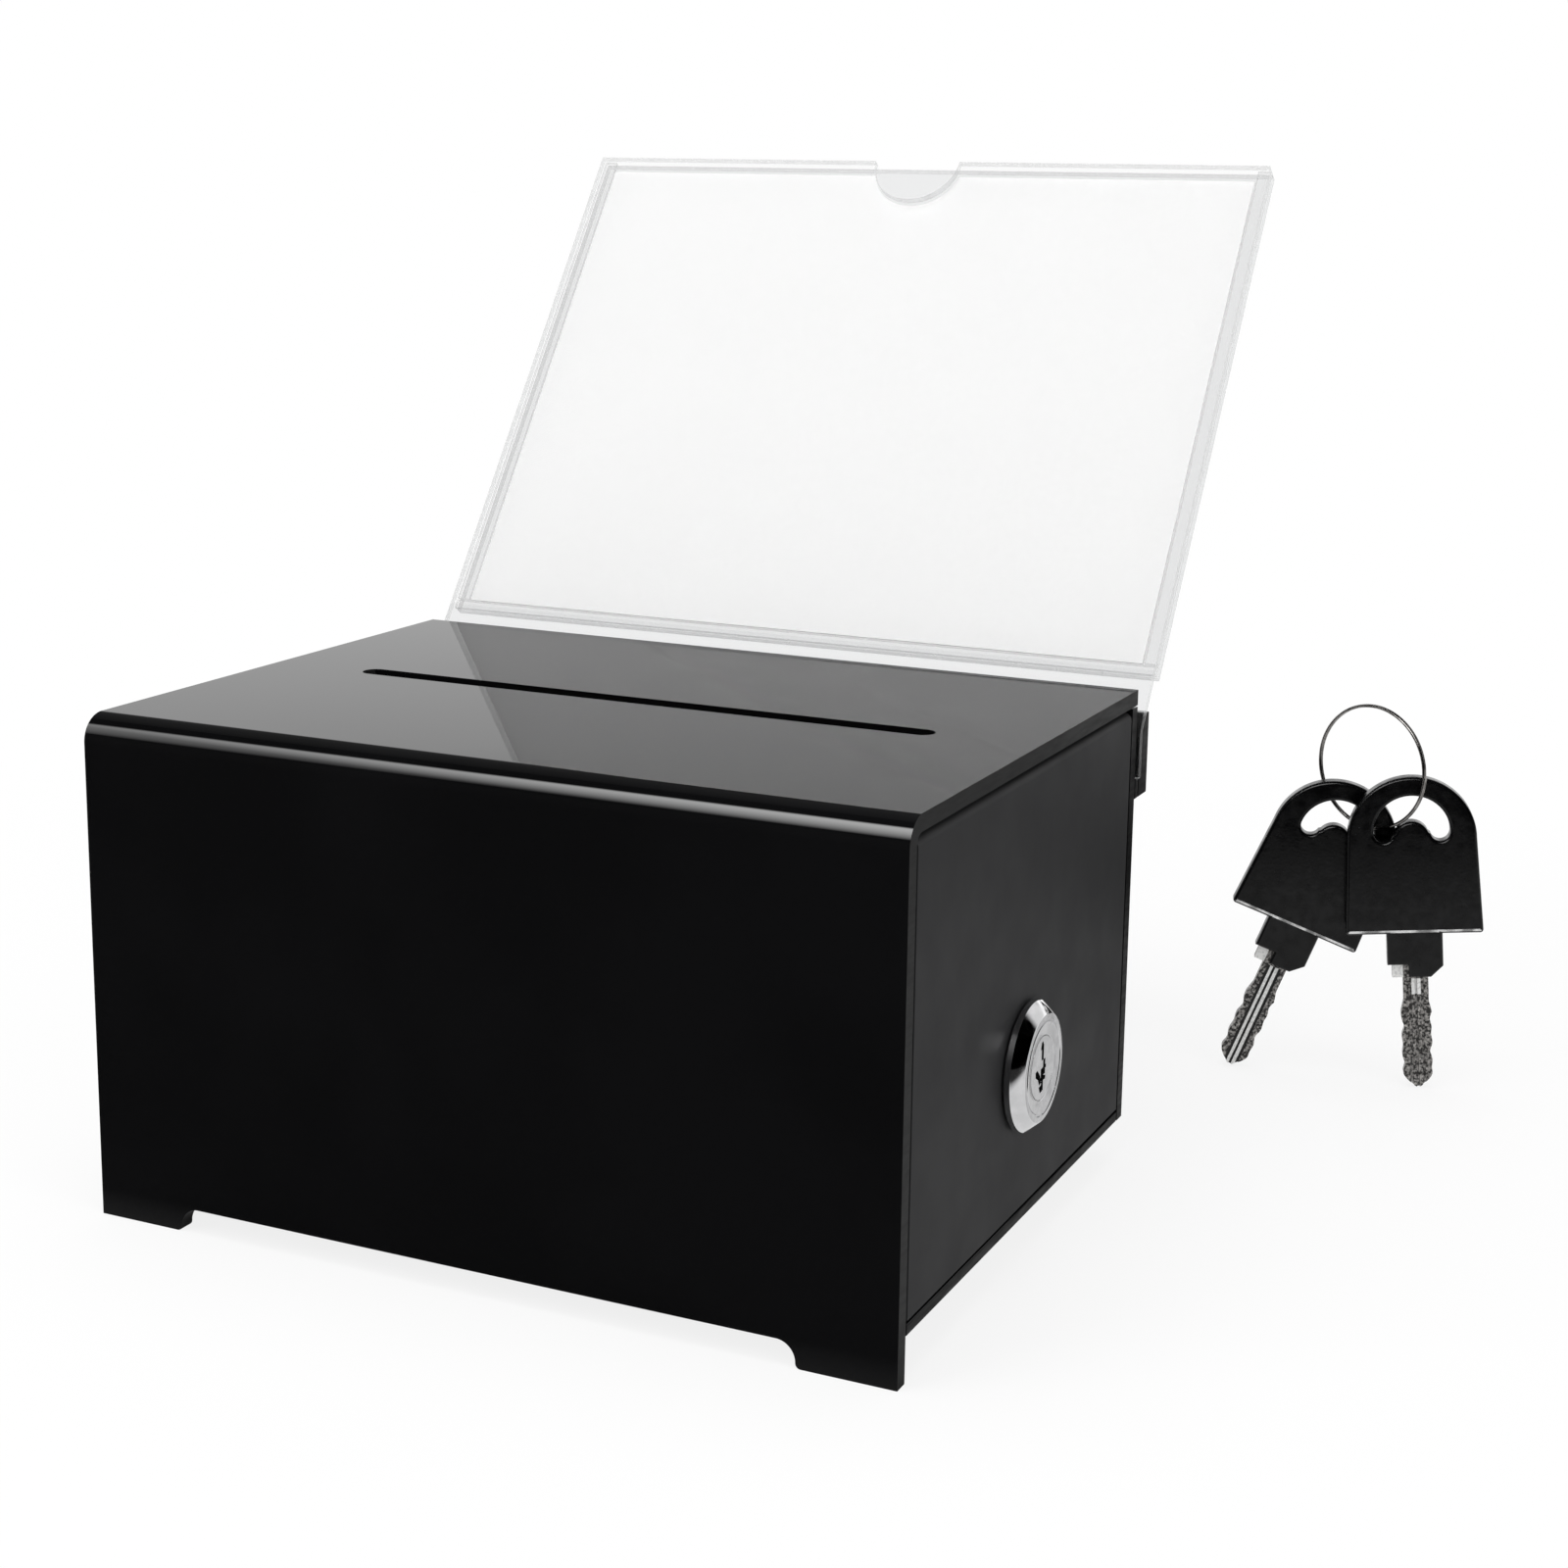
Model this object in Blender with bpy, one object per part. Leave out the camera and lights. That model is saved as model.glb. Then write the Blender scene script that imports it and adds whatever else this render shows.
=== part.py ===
"""Collection box: a bent front and top sheet, a locking side door, a lift-out sign holder and two keys.

Sizes are in metres. The box is drawn in its own frame: X runs to the lock side, Y to the back, Z up,
with zero at the middle of the front face on the floor. The last step moves the whole assembly so that
the origin is the bottom centre of its box.
"""
import math

import bmesh
import bpy
from mathutils import Vector

# Overall sizes of the box
BOX_WIDTH = 0.159
BOX_DEPTH = 0.114
BOX_HEIGHT = 0.094
SHEET = 0.003
BEND_RADIUS = 0.005
SEAM = 0.0003
OVERRUN = 0.002

# Bill slot in the top
SLOT_LENGTH = 0.1195
SLOT_WIDTH = 0.005
SLOT_CENTRE_Y = 0.059

# Feet, front arch and bottom
FOOT_WIDTH = 0.018
ARCH_RISE = 0.00455
FOOT_TIP_RADIUS = 0.001
BOTTOM_CLEARANCE = 0.008
BOTTOM_SHEET = 0.002
REAR_FOOT_WIDTH = 0.0175
REAR_FOOT_INSET = 0.0095

# Side door, its pins and its keeper
DOOR_GAP = 0.0006
DOOR_FOOT_GAP = 0.0006
DOOR_BEND_GAP = 0.0002
PIN_RADIUS = 0.0008
PIN_CLEARANCE = 0.0001
PIN_IN_SHEET = 0.0018
PIN_IN_DOOR = 0.009
PIN_END_GAP = 0.0002
KEEPER_HEIGHT = 0.0097
KEEPER_LENGTH = 0.024
KEEPER_SHEET = 0.003
KEEPER_CORNER = 0.002
KEEPER_PLAY = 0.001

# Cam lock
LOCK_Y = 0.0555
LOCK_Z = 0.0372
LOCK_RIM_RADIUS = 0.0117
LOCK_RIM_HEIGHT = 0.0015
LOCK_FACE_RADIUS = 0.0098
LOCK_FACE_HEIGHT = 0.0037
BARREL_RADIUS = 0.008
BARREL_LENGTH = 0.016
BARREL_FLAT = 0.0072
BARREL_CLEARANCE = 0.00015
PLUG_RADIUS = 0.00575
PLUG_CLEARANCE = 0.0001
PLUG_RECESS = 0.0003
STEM_RADIUS = 0.0038
STEM_FLAT = 0.0028
STEM_CLEARANCE = 0.0001
KEYWAY_HEIGHT = 0.0086
KEYWAY_WIDTH = 0.0011
KEYWAY_STEP = 0.0009
KEYWAY_STEP_HEIGHT = 0.00287
KEYWAY_DEPTH = 0.010
NUT_ACROSS_FLATS = 0.020
NUT_SIDES = 6
NUT_THICKNESS = 0.004
NUT_CLEARANCE = 0.0002
WASHER_RADIUS = 0.011
WASHER_THICKNESS = 0.0008
CAM_REACH = 0.023
CAM_WIDTH = 0.009
CAM_HUB_RADIUS = 0.007
CAM_THICKNESS = 0.0016
CAM_WASHER_RADIUS = 0.0048
SCREW_HEAD_RADIUS = 0.0037
SCREW_HEAD_HEIGHT = 0.0018
SCREW_SHANK_RADIUS = 0.0017
SCREW_SHANK_LENGTH = 0.008
SCREW_CLEARANCE = 0.00015
SCREW_SLOT_WIDTH = 0.001
SCREW_SLOT_DEPTH = 0.0009

# Sign bracket behind the box
BRACKET_LOW = 0.0723
BRACKET_HEIGHT = 0.0161
BRACKET_THICKNESS = 0.0052
BRACKET_SPACER_HEIGHT = 0.0037
BRACKET_CHAMFER_WIDTH = 0.003
BRACKET_CHAMFER_HEIGHT = 0.0036
TONGUE_FRONT_GAP = 0.0004
TONGUE_BACK_GAP = 0.0003

# Sign holder and its card
SIGN_WIDTH = 0.160
SIGN_HEIGHT = 0.1182
SIGN_SHEET = 0.0018
SIGN_LEAN_DEGREES = 35.5
SIGN_BEND_RADIUS = 0.005
SIGN_BEND_START_HEIGHT = 0.0119
SIGN_NECK = 0.0108
SIGN_SPACER_WIDTH = 0.003
SIGN_SPACER_THICKNESS = 0.001
SIGN_SPACER_FOOT = 0.002
SIGN_GLUE_GAP = 0.0002
THUMB_RADIUS = 0.010
CARD_THICKNESS = 0.0004
CARD_DROP = 0.0025
CARD_NOTCH_EXTRA = 0.0004

# Keys and their ring
KEY_LENGTH = 0.06784
BLADE_LENGTH = 0.02438
BLADE_WIDTH = 0.007
BLADE_THICKNESS = 0.00201
BLADE_TIP_WIDTH = 0.00276
BLADE_TANG = 0.00636
BLADE_CUT_DEPTH = 0.00117
BLADE_GROOVE_WIDTH = 0.0011
BLADE_GROOVE_DEPTH = 0.0006
TANG_CLEARANCE = 0.00015
SHOULDER_WIDTH = 0.01155
SHOULDER_LENGTH = 0.00954
BOW_THICKNESS = 0.00382
BOW_FOOT_WIDTH = 0.0283
BOW_RADIUS = 0.01325
BOW_BAND = 0.00403
BOW_HOLE_RADIUS = 0.00784
BOW_LOBE_RADIUS = 0.00201
BOW_HUMP_RADIUS = 0.0036
BOW_HUMP_DROP = 0.00127
BOW_HUMP_END_DEGREES = 20
BOW_CORNER = 0.0007
KEY_FLOOR_GAP = 0.0002
KEY_SET_X = 0.1235
KEY_SET_Y = 0.1840
KEY_SET_YAW_DEGREES = 16.0
KEY_A_SHIFT = 0.03988
KEY_A_TILT_DEGREES = 21.0
KEY_A_DEPTH = 0.00237
KEY_B_TILT_DEGREES = 4.8
KEY_B_DEPTH = 0.00344
RING_RADIUS = 0.01304
RING_WIRE_RADIUS = 0.0007
RING_SHIFT = 0.01333
RING_HEIGHT = 0.06864
RING_YAW_DEGREES = 40.5

# Facets
BEND_STEPS = 10
CORNER_STEPS = 6
ROUND_STEPS = 48
SMALL_ROUND_STEPS = 24
WIRE_STEPS = 8
SMOOTH_DEGREES = 30
WIRE_SMOOTH_DEGREES = 60

# Outlines given in shares of the named sizes they follow
BLADE_CUT_PLACE_SHARES = (0.10, 0.27, 0.44, 0.61, 0.78)
BLADE_CUT_DEPTH_SHARES = (0.35, 1.0, 0.55, 0.85, 0.45)
BLADE_CUT_HALF_LENGTH_SHARE = 0.07
BLADE_CUT_FLAT_SHARE = 0.33
BLADE_GROOVE_SHIFT_SHARE = 0.2
KEEPER_Y_SHARE = 0.5

# Places worked out from the sizes
HALF_WIDTH = BOX_WIDTH / 2
TOP_UNDERSIDE = BOX_HEIGHT - SHEET
INNER_BEND = BEND_RADIUS - SHEET
BACK_INNER = BOX_DEPTH - SHEET
BOTTOM_TOP = BOTTOM_CLEARANCE + BOTTOM_SHEET
DOOR_INNER = HALF_WIDTH - SHEET
DOOR_LOW = BOTTOM_TOP + DOOR_FOOT_GAP
DOOR_FRONT = SHEET + DOOR_GAP
DOOR_BACK = BACK_INNER - DOOR_GAP
HINGE_X = HALF_WIDTH - SHEET / 2
HINGE_DROP = INNER_BEND - math.sqrt((INNER_BEND - DOOR_BEND_GAP) ** 2 - (INNER_BEND - DOOR_GAP) ** 2)
HINGE_Z = TOP_UNDERSIDE - HINGE_DROP - SHEET / 2
BARREL_END = HALF_WIDTH - BARREL_LENGTH
PLUG_END = BARREL_END - SEAM
CAM_OUTER = PLUG_END - SEAM
CAM_INNER = CAM_OUTER - CAM_THICKNESS
STEM_END = CAM_INNER + SEAM
CAM_WASHER_OUTER = CAM_INNER - SEAM
CAM_WASHER_INNER = CAM_WASHER_OUTER - WASHER_THICKNESS
SCREW_OUTER = CAM_WASHER_INNER - SEAM
KEEPER_INNER = CAM_OUTER + KEEPER_PLAY
TONGUE_FRONT = BOX_DEPTH + TONGUE_FRONT_GAP
TONGUE_BACK = TONGUE_FRONT + SIGN_SHEET
BRACKET_INNER = TONGUE_BACK + TONGUE_BACK_GAP
BRACKET_TOP = BRACKET_LOW + BRACKET_HEIGHT
TONGUE_LOW = BRACKET_LOW + BRACKET_SPACER_HEIGHT + SEAM
SIGN_BEND_Z = BRACKET_LOW + SIGN_BEND_START_HEIGHT
SIGN_BEND_Y = TONGUE_FRONT + SIGN_SHEET / 2 + SIGN_BEND_RADIUS
LEAN = math.radians(SIGN_LEAN_DEGREES)
SIGN_UP = Vector((0, math.sin(LEAN), math.cos(LEAN)))
SIGN_BACKWARD = Vector((0, math.cos(LEAN), -math.sin(LEAN)))
SIGN_FRONT_RADIUS = SIGN_BEND_RADIUS + SIGN_SHEET / 2
SIGN_BACK_RADIUS = SIGN_BEND_RADIUS - SIGN_SHEET / 2
SIGN_BEND_CENTRE = Vector((0, SIGN_BEND_Y, SIGN_BEND_Z))
SIGN_BEND_END = SIGN_BEND_CENTRE - SIGN_FRONT_RADIUS * SIGN_BACKWARD
SIGN_FOOT = SIGN_BEND_END + SIGN_NECK * SIGN_UP
POCKET_DEPTH = SIGN_SPACER_THICKNESS + 2 * SIGN_GLUE_GAP
BOW_FOOT = BLADE_LENGTH + SHOULDER_LENGTH
BOW_CENTRE = KEY_LENGTH - BOW_RADIUS
HOLE_CENTRE = KEY_LENGTH - BOW_BAND - BOW_HOLE_RADIUS

# Where each moving body turns or slides from
DOOR_PLACE = Vector((HINGE_X, BOX_DEPTH / 2, HINGE_Z))
LOCK_PLACE = Vector((HALF_WIDTH, LOCK_Y, LOCK_Z))
SIGN_PLACE = Vector((0, TONGUE_FRONT, TONGUE_LOW))
CARD_PLACE = SIGN_FOOT
KEY_PLACE = Vector((KEY_SET_X, KEY_SET_Y, 0))


def clear_scene():
    """Removes what the scene holds."""
    for item in list(bpy.data.objects):
        bpy.data.objects.remove(item, do_unlink=True)


def make_material(name, colour, roughness, metallic=0.0, transmission=0.0):
    """A Principled material in a part's own colour and gloss."""
    material = bpy.data.materials.new(name)
    material.use_nodes = True
    shader = material.node_tree.nodes["Principled BSDF"]
    shader.inputs["Base Color"].default_value = (*colour, 1.0)
    shader.inputs["Roughness"].default_value = roughness
    shader.inputs["Metallic"].default_value = metallic
    shader.inputs["Transmission Weight"].default_value = transmission
    material.diffuse_color = (*colour, 1.0)
    return material


def make_empty(name, place, parent=None, parent_place=None):
    """An empty that carries one body, placed in the box frame."""
    empty = bpy.data.objects.new(name, None)
    bpy.context.scene.collection.objects.link(empty)
    empty.location = place - (parent_place if parent_place else Vector())
    empty.parent = parent
    return empty


def arc(centre, radius, start, end, steps):
    """Points on a circle from one angle to another, in degrees, both ends included."""
    points = []
    for step in range(steps + 1):
        angle = math.radians(start + (end - start) * step / steps)
        points.append((centre[0] + radius * math.cos(angle), centre[1] + radius * math.sin(angle)))
    return points


def ring_points(radius, steps, centre=(0, 0)):
    """A whole circle, its last point left off."""
    return arc(centre, radius, 0, 360, steps)[:-1]


def flatted_circle(radius, flat, steps):
    """A circle cut off flat above and below: the double flat of a lock barrel or stem."""
    cut = math.degrees(math.asin(flat / radius))
    return arc((0, 0), radius, -cut, cut, steps) + arc((0, 0), radius, 180 - cut, 180 + cut, steps)


def rounded_rectangle(low_a, high_a, low_b, high_b, radius):
    """A rectangle with four round corners."""
    corners = (
        (high_a - radius, low_b + radius, -90),
        (high_a - radius, high_b - radius, 0),
        (low_a + radius, high_b - radius, 90),
        (low_a + radius, low_b + radius, 180),
    )
    points = []
    for centre_a, centre_b, start in corners:
        points += arc((centre_a, centre_b), radius, start, start + 90, CORNER_STEPS)
    return points


def rectangle(low_a, high_a, low_b, high_b):
    """A plain rectangle."""
    return [(low_a, low_b), (high_a, low_b), (high_a, high_b), (low_a, high_b)]


def link_mesh(name, mesh_data, material=None, smooth_degrees=None):
    """Writes a bmesh to a new object and links it."""
    bmesh.ops.recalc_face_normals(mesh_data, faces=mesh_data.faces)
    mesh = bpy.data.meshes.new(name)
    mesh_data.to_mesh(mesh)
    mesh_data.free()
    if smooth_degrees:
        mesh.shade_smooth()
        mesh.set_sharp_from_angle(angle=math.radians(smooth_degrees))
    piece = bpy.data.objects.new(name, mesh)
    bpy.context.scene.collection.objects.link(piece)
    if material:
        mesh.materials.append(material)
    return piece


def extrude_outline(name, outline, low, high, axis, material=None, smooth_degrees=None):
    """Extrudes an outline along X, Y or Z. Its two numbers are the other two axes in XYZ order."""
    place = {
        "X": lambda a, b, along: (along, a, b),
        "Y": lambda a, b, along: (a, along, b),
        "Z": lambda a, b, along: (a, b, along),
    }[axis]
    mesh_data = bmesh.new()
    face = mesh_data.faces.new([mesh_data.verts.new(place(a, b, low)) for a, b in outline])
    grown = bmesh.ops.extrude_face_region(mesh_data, geom=[face])
    moved = [item for item in grown["geom"] if isinstance(item, bmesh.types.BMVert)]
    bmesh.ops.translate(mesh_data, verts=moved, vec=place(0, 0, high - low))
    return link_mesh(name, mesh_data, material, smooth_degrees)


def turn_profile(name, profile, steps, material=None, smooth_degrees=SMOOTH_DEGREES):
    """Spins a closed profile of (distance along X, radius) points about the X axis."""
    mesh_data = bmesh.new()
    verts = [mesh_data.verts.new((along, 0, radius)) for along, radius in profile]
    edges = [mesh_data.edges.new((a, b)) for a, b in zip(verts, verts[1:] + verts[:1])]
    bmesh.ops.spin(
        mesh_data,
        geom=verts + edges,
        cent=(0, 0, 0),
        axis=(1, 0, 0),
        angle=math.tau,
        steps=steps,
        use_merge=True,
    )
    return link_mesh(name, mesh_data, material, smooth_degrees)


def as_cutter(piece):
    """Hides a piece that only cuts."""
    piece.hide_render = True
    piece.display_type = "WIRE"
    return piece


def cut_away(piece, cutter, operation="DIFFERENCE"):
    """Cuts one shape out of another, or joins it on, with a Boolean modifier."""
    as_cutter(cutter)
    modifier = piece.modifiers.new(cutter.name, "BOOLEAN")
    modifier.operation = operation
    modifier.solver = "EXACT"
    modifier.object = cutter
    cutter.parent = piece
    return piece


def carry(piece, body, body_place, place=None, turn=None):
    """Parents a piece to its body's empty and places it in the box frame."""
    piece.parent = body
    piece.location = (place if place else Vector()) - body_place
    if turn:
        piece.rotation_euler = turn
    return piece


def make_materials():
    """The finishes seen on the object."""
    return {
        "black": make_material("black_acrylic", (0.008, 0.008, 0.009), 0.08),
        "clear": make_material("clear_acrylic", (0.93, 0.94, 0.94), 0.04, transmission=1.0),
        "card": make_material("white_card", (0.93, 0.93, 0.93), 0.7),
        "chrome": make_material("bright_chrome", (0.72, 0.72, 0.73), 0.12, metallic=1.0),
        "steel": make_material("plain_steel", (0.42, 0.42, 0.43), 0.35, metallic=1.0),
        "bow": make_material("key_bow_plastic", (0.015, 0.015, 0.016), 0.25),
        "blade": make_material("key_blade_nickel", (0.45, 0.44, 0.42), 0.3, metallic=1.0),
    }


def front_arch_outline():
    """The opening between the front feet: a round tip on each foot, then a hollow corner."""
    half = HALF_WIDTH - FOOT_WIDTH
    hollow = ARCH_RISE - FOOT_TIP_RADIUS
    left = [(-half - FOOT_TIP_RADIUS, -OVERRUN)]
    left += arc((-half - FOOT_TIP_RADIUS, FOOT_TIP_RADIUS), FOOT_TIP_RADIUS, -90, 0, CORNER_STEPS)
    left += arc((-half + hollow, FOOT_TIP_RADIUS), hollow, 180, 90, CORNER_STEPS)[1:]
    right = [(-x, z) for x, z in reversed(left)]
    return left + right


def slot_outline():
    """The bill slot, with round ends."""
    radius = SLOT_WIDTH / 2
    reach = SLOT_LENGTH / 2 - radius
    points = arc((reach, SLOT_CENTRE_Y), radius, -90, 90, BEND_STEPS)
    points += arc((-reach, SLOT_CENTRE_Y), radius, 90, 270, BEND_STEPS)
    return points


def pin_hole(name, low, high):
    """A cutter for one hinge pin's hole."""
    centre = (HINGE_X, HINGE_Z)
    outline = ring_points(PIN_RADIUS + PIN_CLEARANCE, SMALL_ROUND_STEPS, centre)
    return extrude_outline(name, outline, low, high, "Y")


def make_front_top_sheet(material):
    """One sheet that stands as the front and bends back over as the top."""
    bend = (BEND_RADIUS, BOX_HEIGHT - BEND_RADIUS)
    profile = [(0, 0)]
    profile += arc(bend, BEND_RADIUS, 180, 90, BEND_STEPS)
    profile += [(BOX_DEPTH, BOX_HEIGHT), (BOX_DEPTH, TOP_UNDERSIDE)]
    profile += arc(bend, INNER_BEND, 90, 180, BEND_STEPS)
    profile += [(SHEET, 0)]
    half = HALF_WIDTH
    sheet = extrude_outline("front_top_sheet", profile, -half, half, "X", material, SMOOTH_DEGREES)
    arch = extrude_outline("cut_front_arch", front_arch_outline(), -OVERRUN, SHEET + OVERRUN, "Y")
    low, high = TOP_UNDERSIDE - OVERRUN, BOX_HEIGHT + OVERRUN
    slot = extrude_outline("cut_bill_slot", slot_outline(), low, high, "Z")
    hole = pin_hole("cut_front_pin_hole", SHEET - PIN_IN_SHEET, SHEET + OVERRUN)
    for cutter in (arch, slot, hole):
        cut_away(sheet, cutter)
    return sheet


def make_back_wall(material):
    """The back, with two feet set in from the sides."""
    outer = HALF_WIDTH - REAR_FOOT_INSET
    inner = outer - REAR_FOOT_WIDTH
    tip = FOOT_TIP_RADIUS
    low = BOTTOM_CLEARANCE
    right = [(inner, low)]
    right += arc((inner + tip, tip), tip, 180, 270, CORNER_STEPS)
    right += arc((outer - tip, tip), tip, 270, 360, CORNER_STEPS)
    right += [(outer, low), (HALF_WIDTH, low), (HALF_WIDTH, TOP_UNDERSIDE - SEAM)]
    left = [(-x, z) for x, z in reversed(right)]
    outline = right + left
    wall = extrude_outline("back_wall", outline, BACK_INNER, BOX_DEPTH, "Y", material, SMOOTH_DEGREES)
    cut_away(wall, pin_hole("cut_rear_pin_hole", BACK_INNER - OVERRUN, BACK_INNER + PIN_IN_SHEET))
    return wall


def make_fixed_walls(material):
    """The left wall and the bottom panel, glued between the front and the back."""
    low_y, high_y = SHEET + SEAM, BACK_INNER - SEAM
    low_z, high_z = BOTTOM_TOP + SEAM, TOP_UNDERSIDE - SEAM
    bend = (BEND_RADIUS, BOX_HEIGHT - BEND_RADIUS)
    wall_outline = [(low_y, low_z), (high_y, low_z), (high_y, high_z)]
    wall_outline += arc(bend, INNER_BEND - SEAM, 90, 180, CORNER_STEPS)
    left = extrude_outline("left_wall", wall_outline, -HALF_WIDTH, SHEET - HALF_WIDTH, "X", material)
    floor_outline = rectangle(-HALF_WIDTH, HALF_WIDTH, low_y, high_y)
    floor = extrude_outline("bottom_panel", floor_outline, BOTTOM_CLEARANCE, BOTTOM_TOP, "Z", material)
    return [left, floor]


def make_keeper(material):
    """The strip on the bottom panel that the lock's cam drops behind."""
    low_y = LOCK_Y - KEEPER_LENGTH * KEEPER_Y_SHARE
    low_z = BOTTOM_TOP + SEAM
    outline = rounded_rectangle(low_y, low_y + KEEPER_LENGTH, low_z, low_z + KEEPER_HEIGHT, KEEPER_CORNER)
    high = KEEPER_INNER + KEEPER_SHEET
    return extrude_outline("door_keeper", outline, KEEPER_INNER, high, "X", material, SMOOTH_DEGREES)


def make_hinge_pins(material):
    """Two steel pins that the door turns on, one in the front sheet and one in the back wall."""
    outline = ring_points(PIN_RADIUS, SMALL_ROUND_STEPS, (HINGE_X, HINGE_Z))
    front_low = SHEET - PIN_IN_SHEET + PIN_END_GAP
    front_high = DOOR_FRONT + PIN_IN_DOOR - PIN_END_GAP
    rear_low = DOOR_BACK - PIN_IN_DOOR + PIN_END_GAP
    rear_high = BACK_INNER + PIN_IN_SHEET - PIN_END_GAP
    pins = []
    for name, low, high in (
        ("hinge_pin_front", front_low, front_high),
        ("hinge_pin_rear", rear_low, rear_high),
    ):
        pins.append(extrude_outline(name, outline, low, high, "Y", material, SMOOTH_DEGREES))
    return pins


def make_side_door(material):
    """The right side, which swings out and up about its round top edge."""
    centre = (HINGE_X, HINGE_Z)
    profile = [(DOOR_INNER, DOOR_LOW), (HALF_WIDTH, DOOR_LOW)]
    profile += arc(centre, SHEET / 2, 0, 180, BEND_STEPS)
    door = extrude_outline("side_door", profile, DOOR_FRONT, DOOR_BACK, "Y", material, SMOOTH_DEGREES)
    clearance = BARREL_CLEARANCE
    barrel = flatted_circle(BARREL_RADIUS + clearance, BARREL_FLAT + clearance, ROUND_STEPS // 2)
    hole = [(LOCK_Y + y, LOCK_Z + z) for y, z in barrel]
    low, high = DOOR_INNER - OVERRUN, HALF_WIDTH + OVERRUN
    cut_away(door, extrude_outline("cut_lock_hole", hole, low, high, "X"))
    cut_away(door, pin_hole("cut_door_front_hole", DOOR_FRONT - OVERRUN, DOOR_FRONT + PIN_IN_DOOR))
    cut_away(door, pin_hole("cut_door_rear_hole", DOOR_BACK - PIN_IN_DOOR, DOOR_BACK + OVERRUN))
    return door


def make_lock_housing(material):
    """The lock's coned bezel and its barrel with two flats, as one turned piece."""
    bore = PLUG_RADIUS + PLUG_CLEARANCE
    profile = [
        (LOCK_FACE_HEIGHT, bore),
        (LOCK_FACE_HEIGHT, LOCK_FACE_RADIUS),
        (LOCK_RIM_HEIGHT, LOCK_RIM_RADIUS),
        (SEAM, LOCK_RIM_RADIUS),
        (SEAM, BARREL_RADIUS),
        (-BARREL_LENGTH, BARREL_RADIUS),
        (-BARREL_LENGTH, bore),
    ]
    housing = turn_profile("lock_housing", profile, ROUND_STEPS, material)
    for name, side in (("cut_flat_above", 1), ("cut_flat_below", -1)):
        reach = BARREL_RADIUS + OVERRUN
        near, far = side * BARREL_FLAT, side * reach
        outline = rectangle(-reach, reach, min(near, far), max(near, far))
        cut_away(housing, extrude_outline(name, outline, -BARREL_LENGTH - OVERRUN, 0, "X"))
    return housing


def keyway_outline():
    """The keyway: a narrow slot stepped to one side and back, as the key blade's grooves need."""
    half = KEYWAY_WIDTH / 2
    high = KEYWAY_HEIGHT / 2
    bend = KEYWAY_STEP_HEIGHT / 2
    return [
        (-half, -high),
        (half, -high),
        (half, -bend),
        (half + KEYWAY_STEP, -bend),
        (half + KEYWAY_STEP, bend),
        (half, bend),
        (half, high),
        (-half, high),
        (-half, bend),
        (KEYWAY_STEP - half, bend),
        (KEYWAY_STEP - half, -bend),
        (-half, -bend),
    ]


def make_lock_plug(material):
    """The turning plug, with its keyway, its flatted stem and the hole for the cam screw."""
    face = LOCK_FACE_HEIGHT - PLUG_RECESS
    end = PLUG_END - HALF_WIDTH
    stem_end = STEM_END - HALF_WIDTH
    hole = SCREW_SHANK_RADIUS + SCREW_CLEARANCE
    hole_depth = SCREW_OUTER - HALF_WIDTH + SCREW_SHANK_LENGTH + SEAM
    stem = flatted_circle(STEM_RADIUS, STEM_FLAT, SMALL_ROUND_STEPS // 2)
    body_outline = ring_points(PLUG_RADIUS, ROUND_STEPS)
    plug = extrude_outline("lock_plug", body_outline, end, face, "X", material, SMOOTH_DEGREES)
    cut_away(plug, extrude_outline("join_stem", stem, stem_end, end + OVERRUN, "X"), "UNION")
    keyway = extrude_outline("cut_keyway", keyway_outline(), face - KEYWAY_DEPTH, face + OVERRUN, "X")
    cut_away(plug, keyway)
    screw_hole = ring_points(hole, SMALL_ROUND_STEPS)
    cut_away(plug, extrude_outline("cut_screw_hole", screw_hole, stem_end - OVERRUN, hole_depth, "X"))
    return plug


def make_cam(material):
    """The cam: a hub with a flatted hole and an arm with a round end, pointing back when unlocked."""
    half = CAM_WIDTH / 2
    spread = math.degrees(math.asin(half / CAM_HUB_RADIUS))
    outline = arc((0, 0), CAM_HUB_RADIUS, spread, 360 - spread, ROUND_STEPS // 2)
    outline += arc((CAM_REACH - half, 0), half, -90, 90, BEND_STEPS)
    low, high = CAM_INNER - HALF_WIDTH, CAM_OUTER - HALF_WIDTH
    cam = extrude_outline("lock_cam", outline, low, high, "X", material, SMOOTH_DEGREES)
    clearance = STEM_CLEARANCE
    hole = flatted_circle(STEM_RADIUS + clearance, STEM_FLAT + clearance, SMALL_ROUND_STEPS // 2)
    cut_away(cam, extrude_outline("cut_cam_hole", hole, low - OVERRUN, high + OVERRUN, "X"))
    return cam


def make_washer(name, outer, inner, low, thickness, material):
    """A flat washer on the lock's axis."""
    profile = [(low, inner), (low, outer), (low + thickness, outer), (low + thickness, inner)]
    return turn_profile(name, profile, ROUND_STEPS, material)


def make_nut(material):
    """The hexagon nut that clamps the lock to the door."""
    outer_radius = NUT_ACROSS_FLATS / 2 / math.cos(math.pi / NUT_SIDES)
    high = -SHEET - SEAM - WASHER_THICKNESS - SEAM
    hexagon = ring_points(outer_radius, NUT_SIDES)
    nut = extrude_outline("lock_nut", hexagon, high - NUT_THICKNESS, high, "X", material)
    thread = ring_points(BARREL_RADIUS + NUT_CLEARANCE, ROUND_STEPS)
    low = high - NUT_THICKNESS - OVERRUN
    cut_away(nut, extrude_outline("cut_nut_thread", thread, low, high + OVERRUN, "X"))
    return nut


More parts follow.
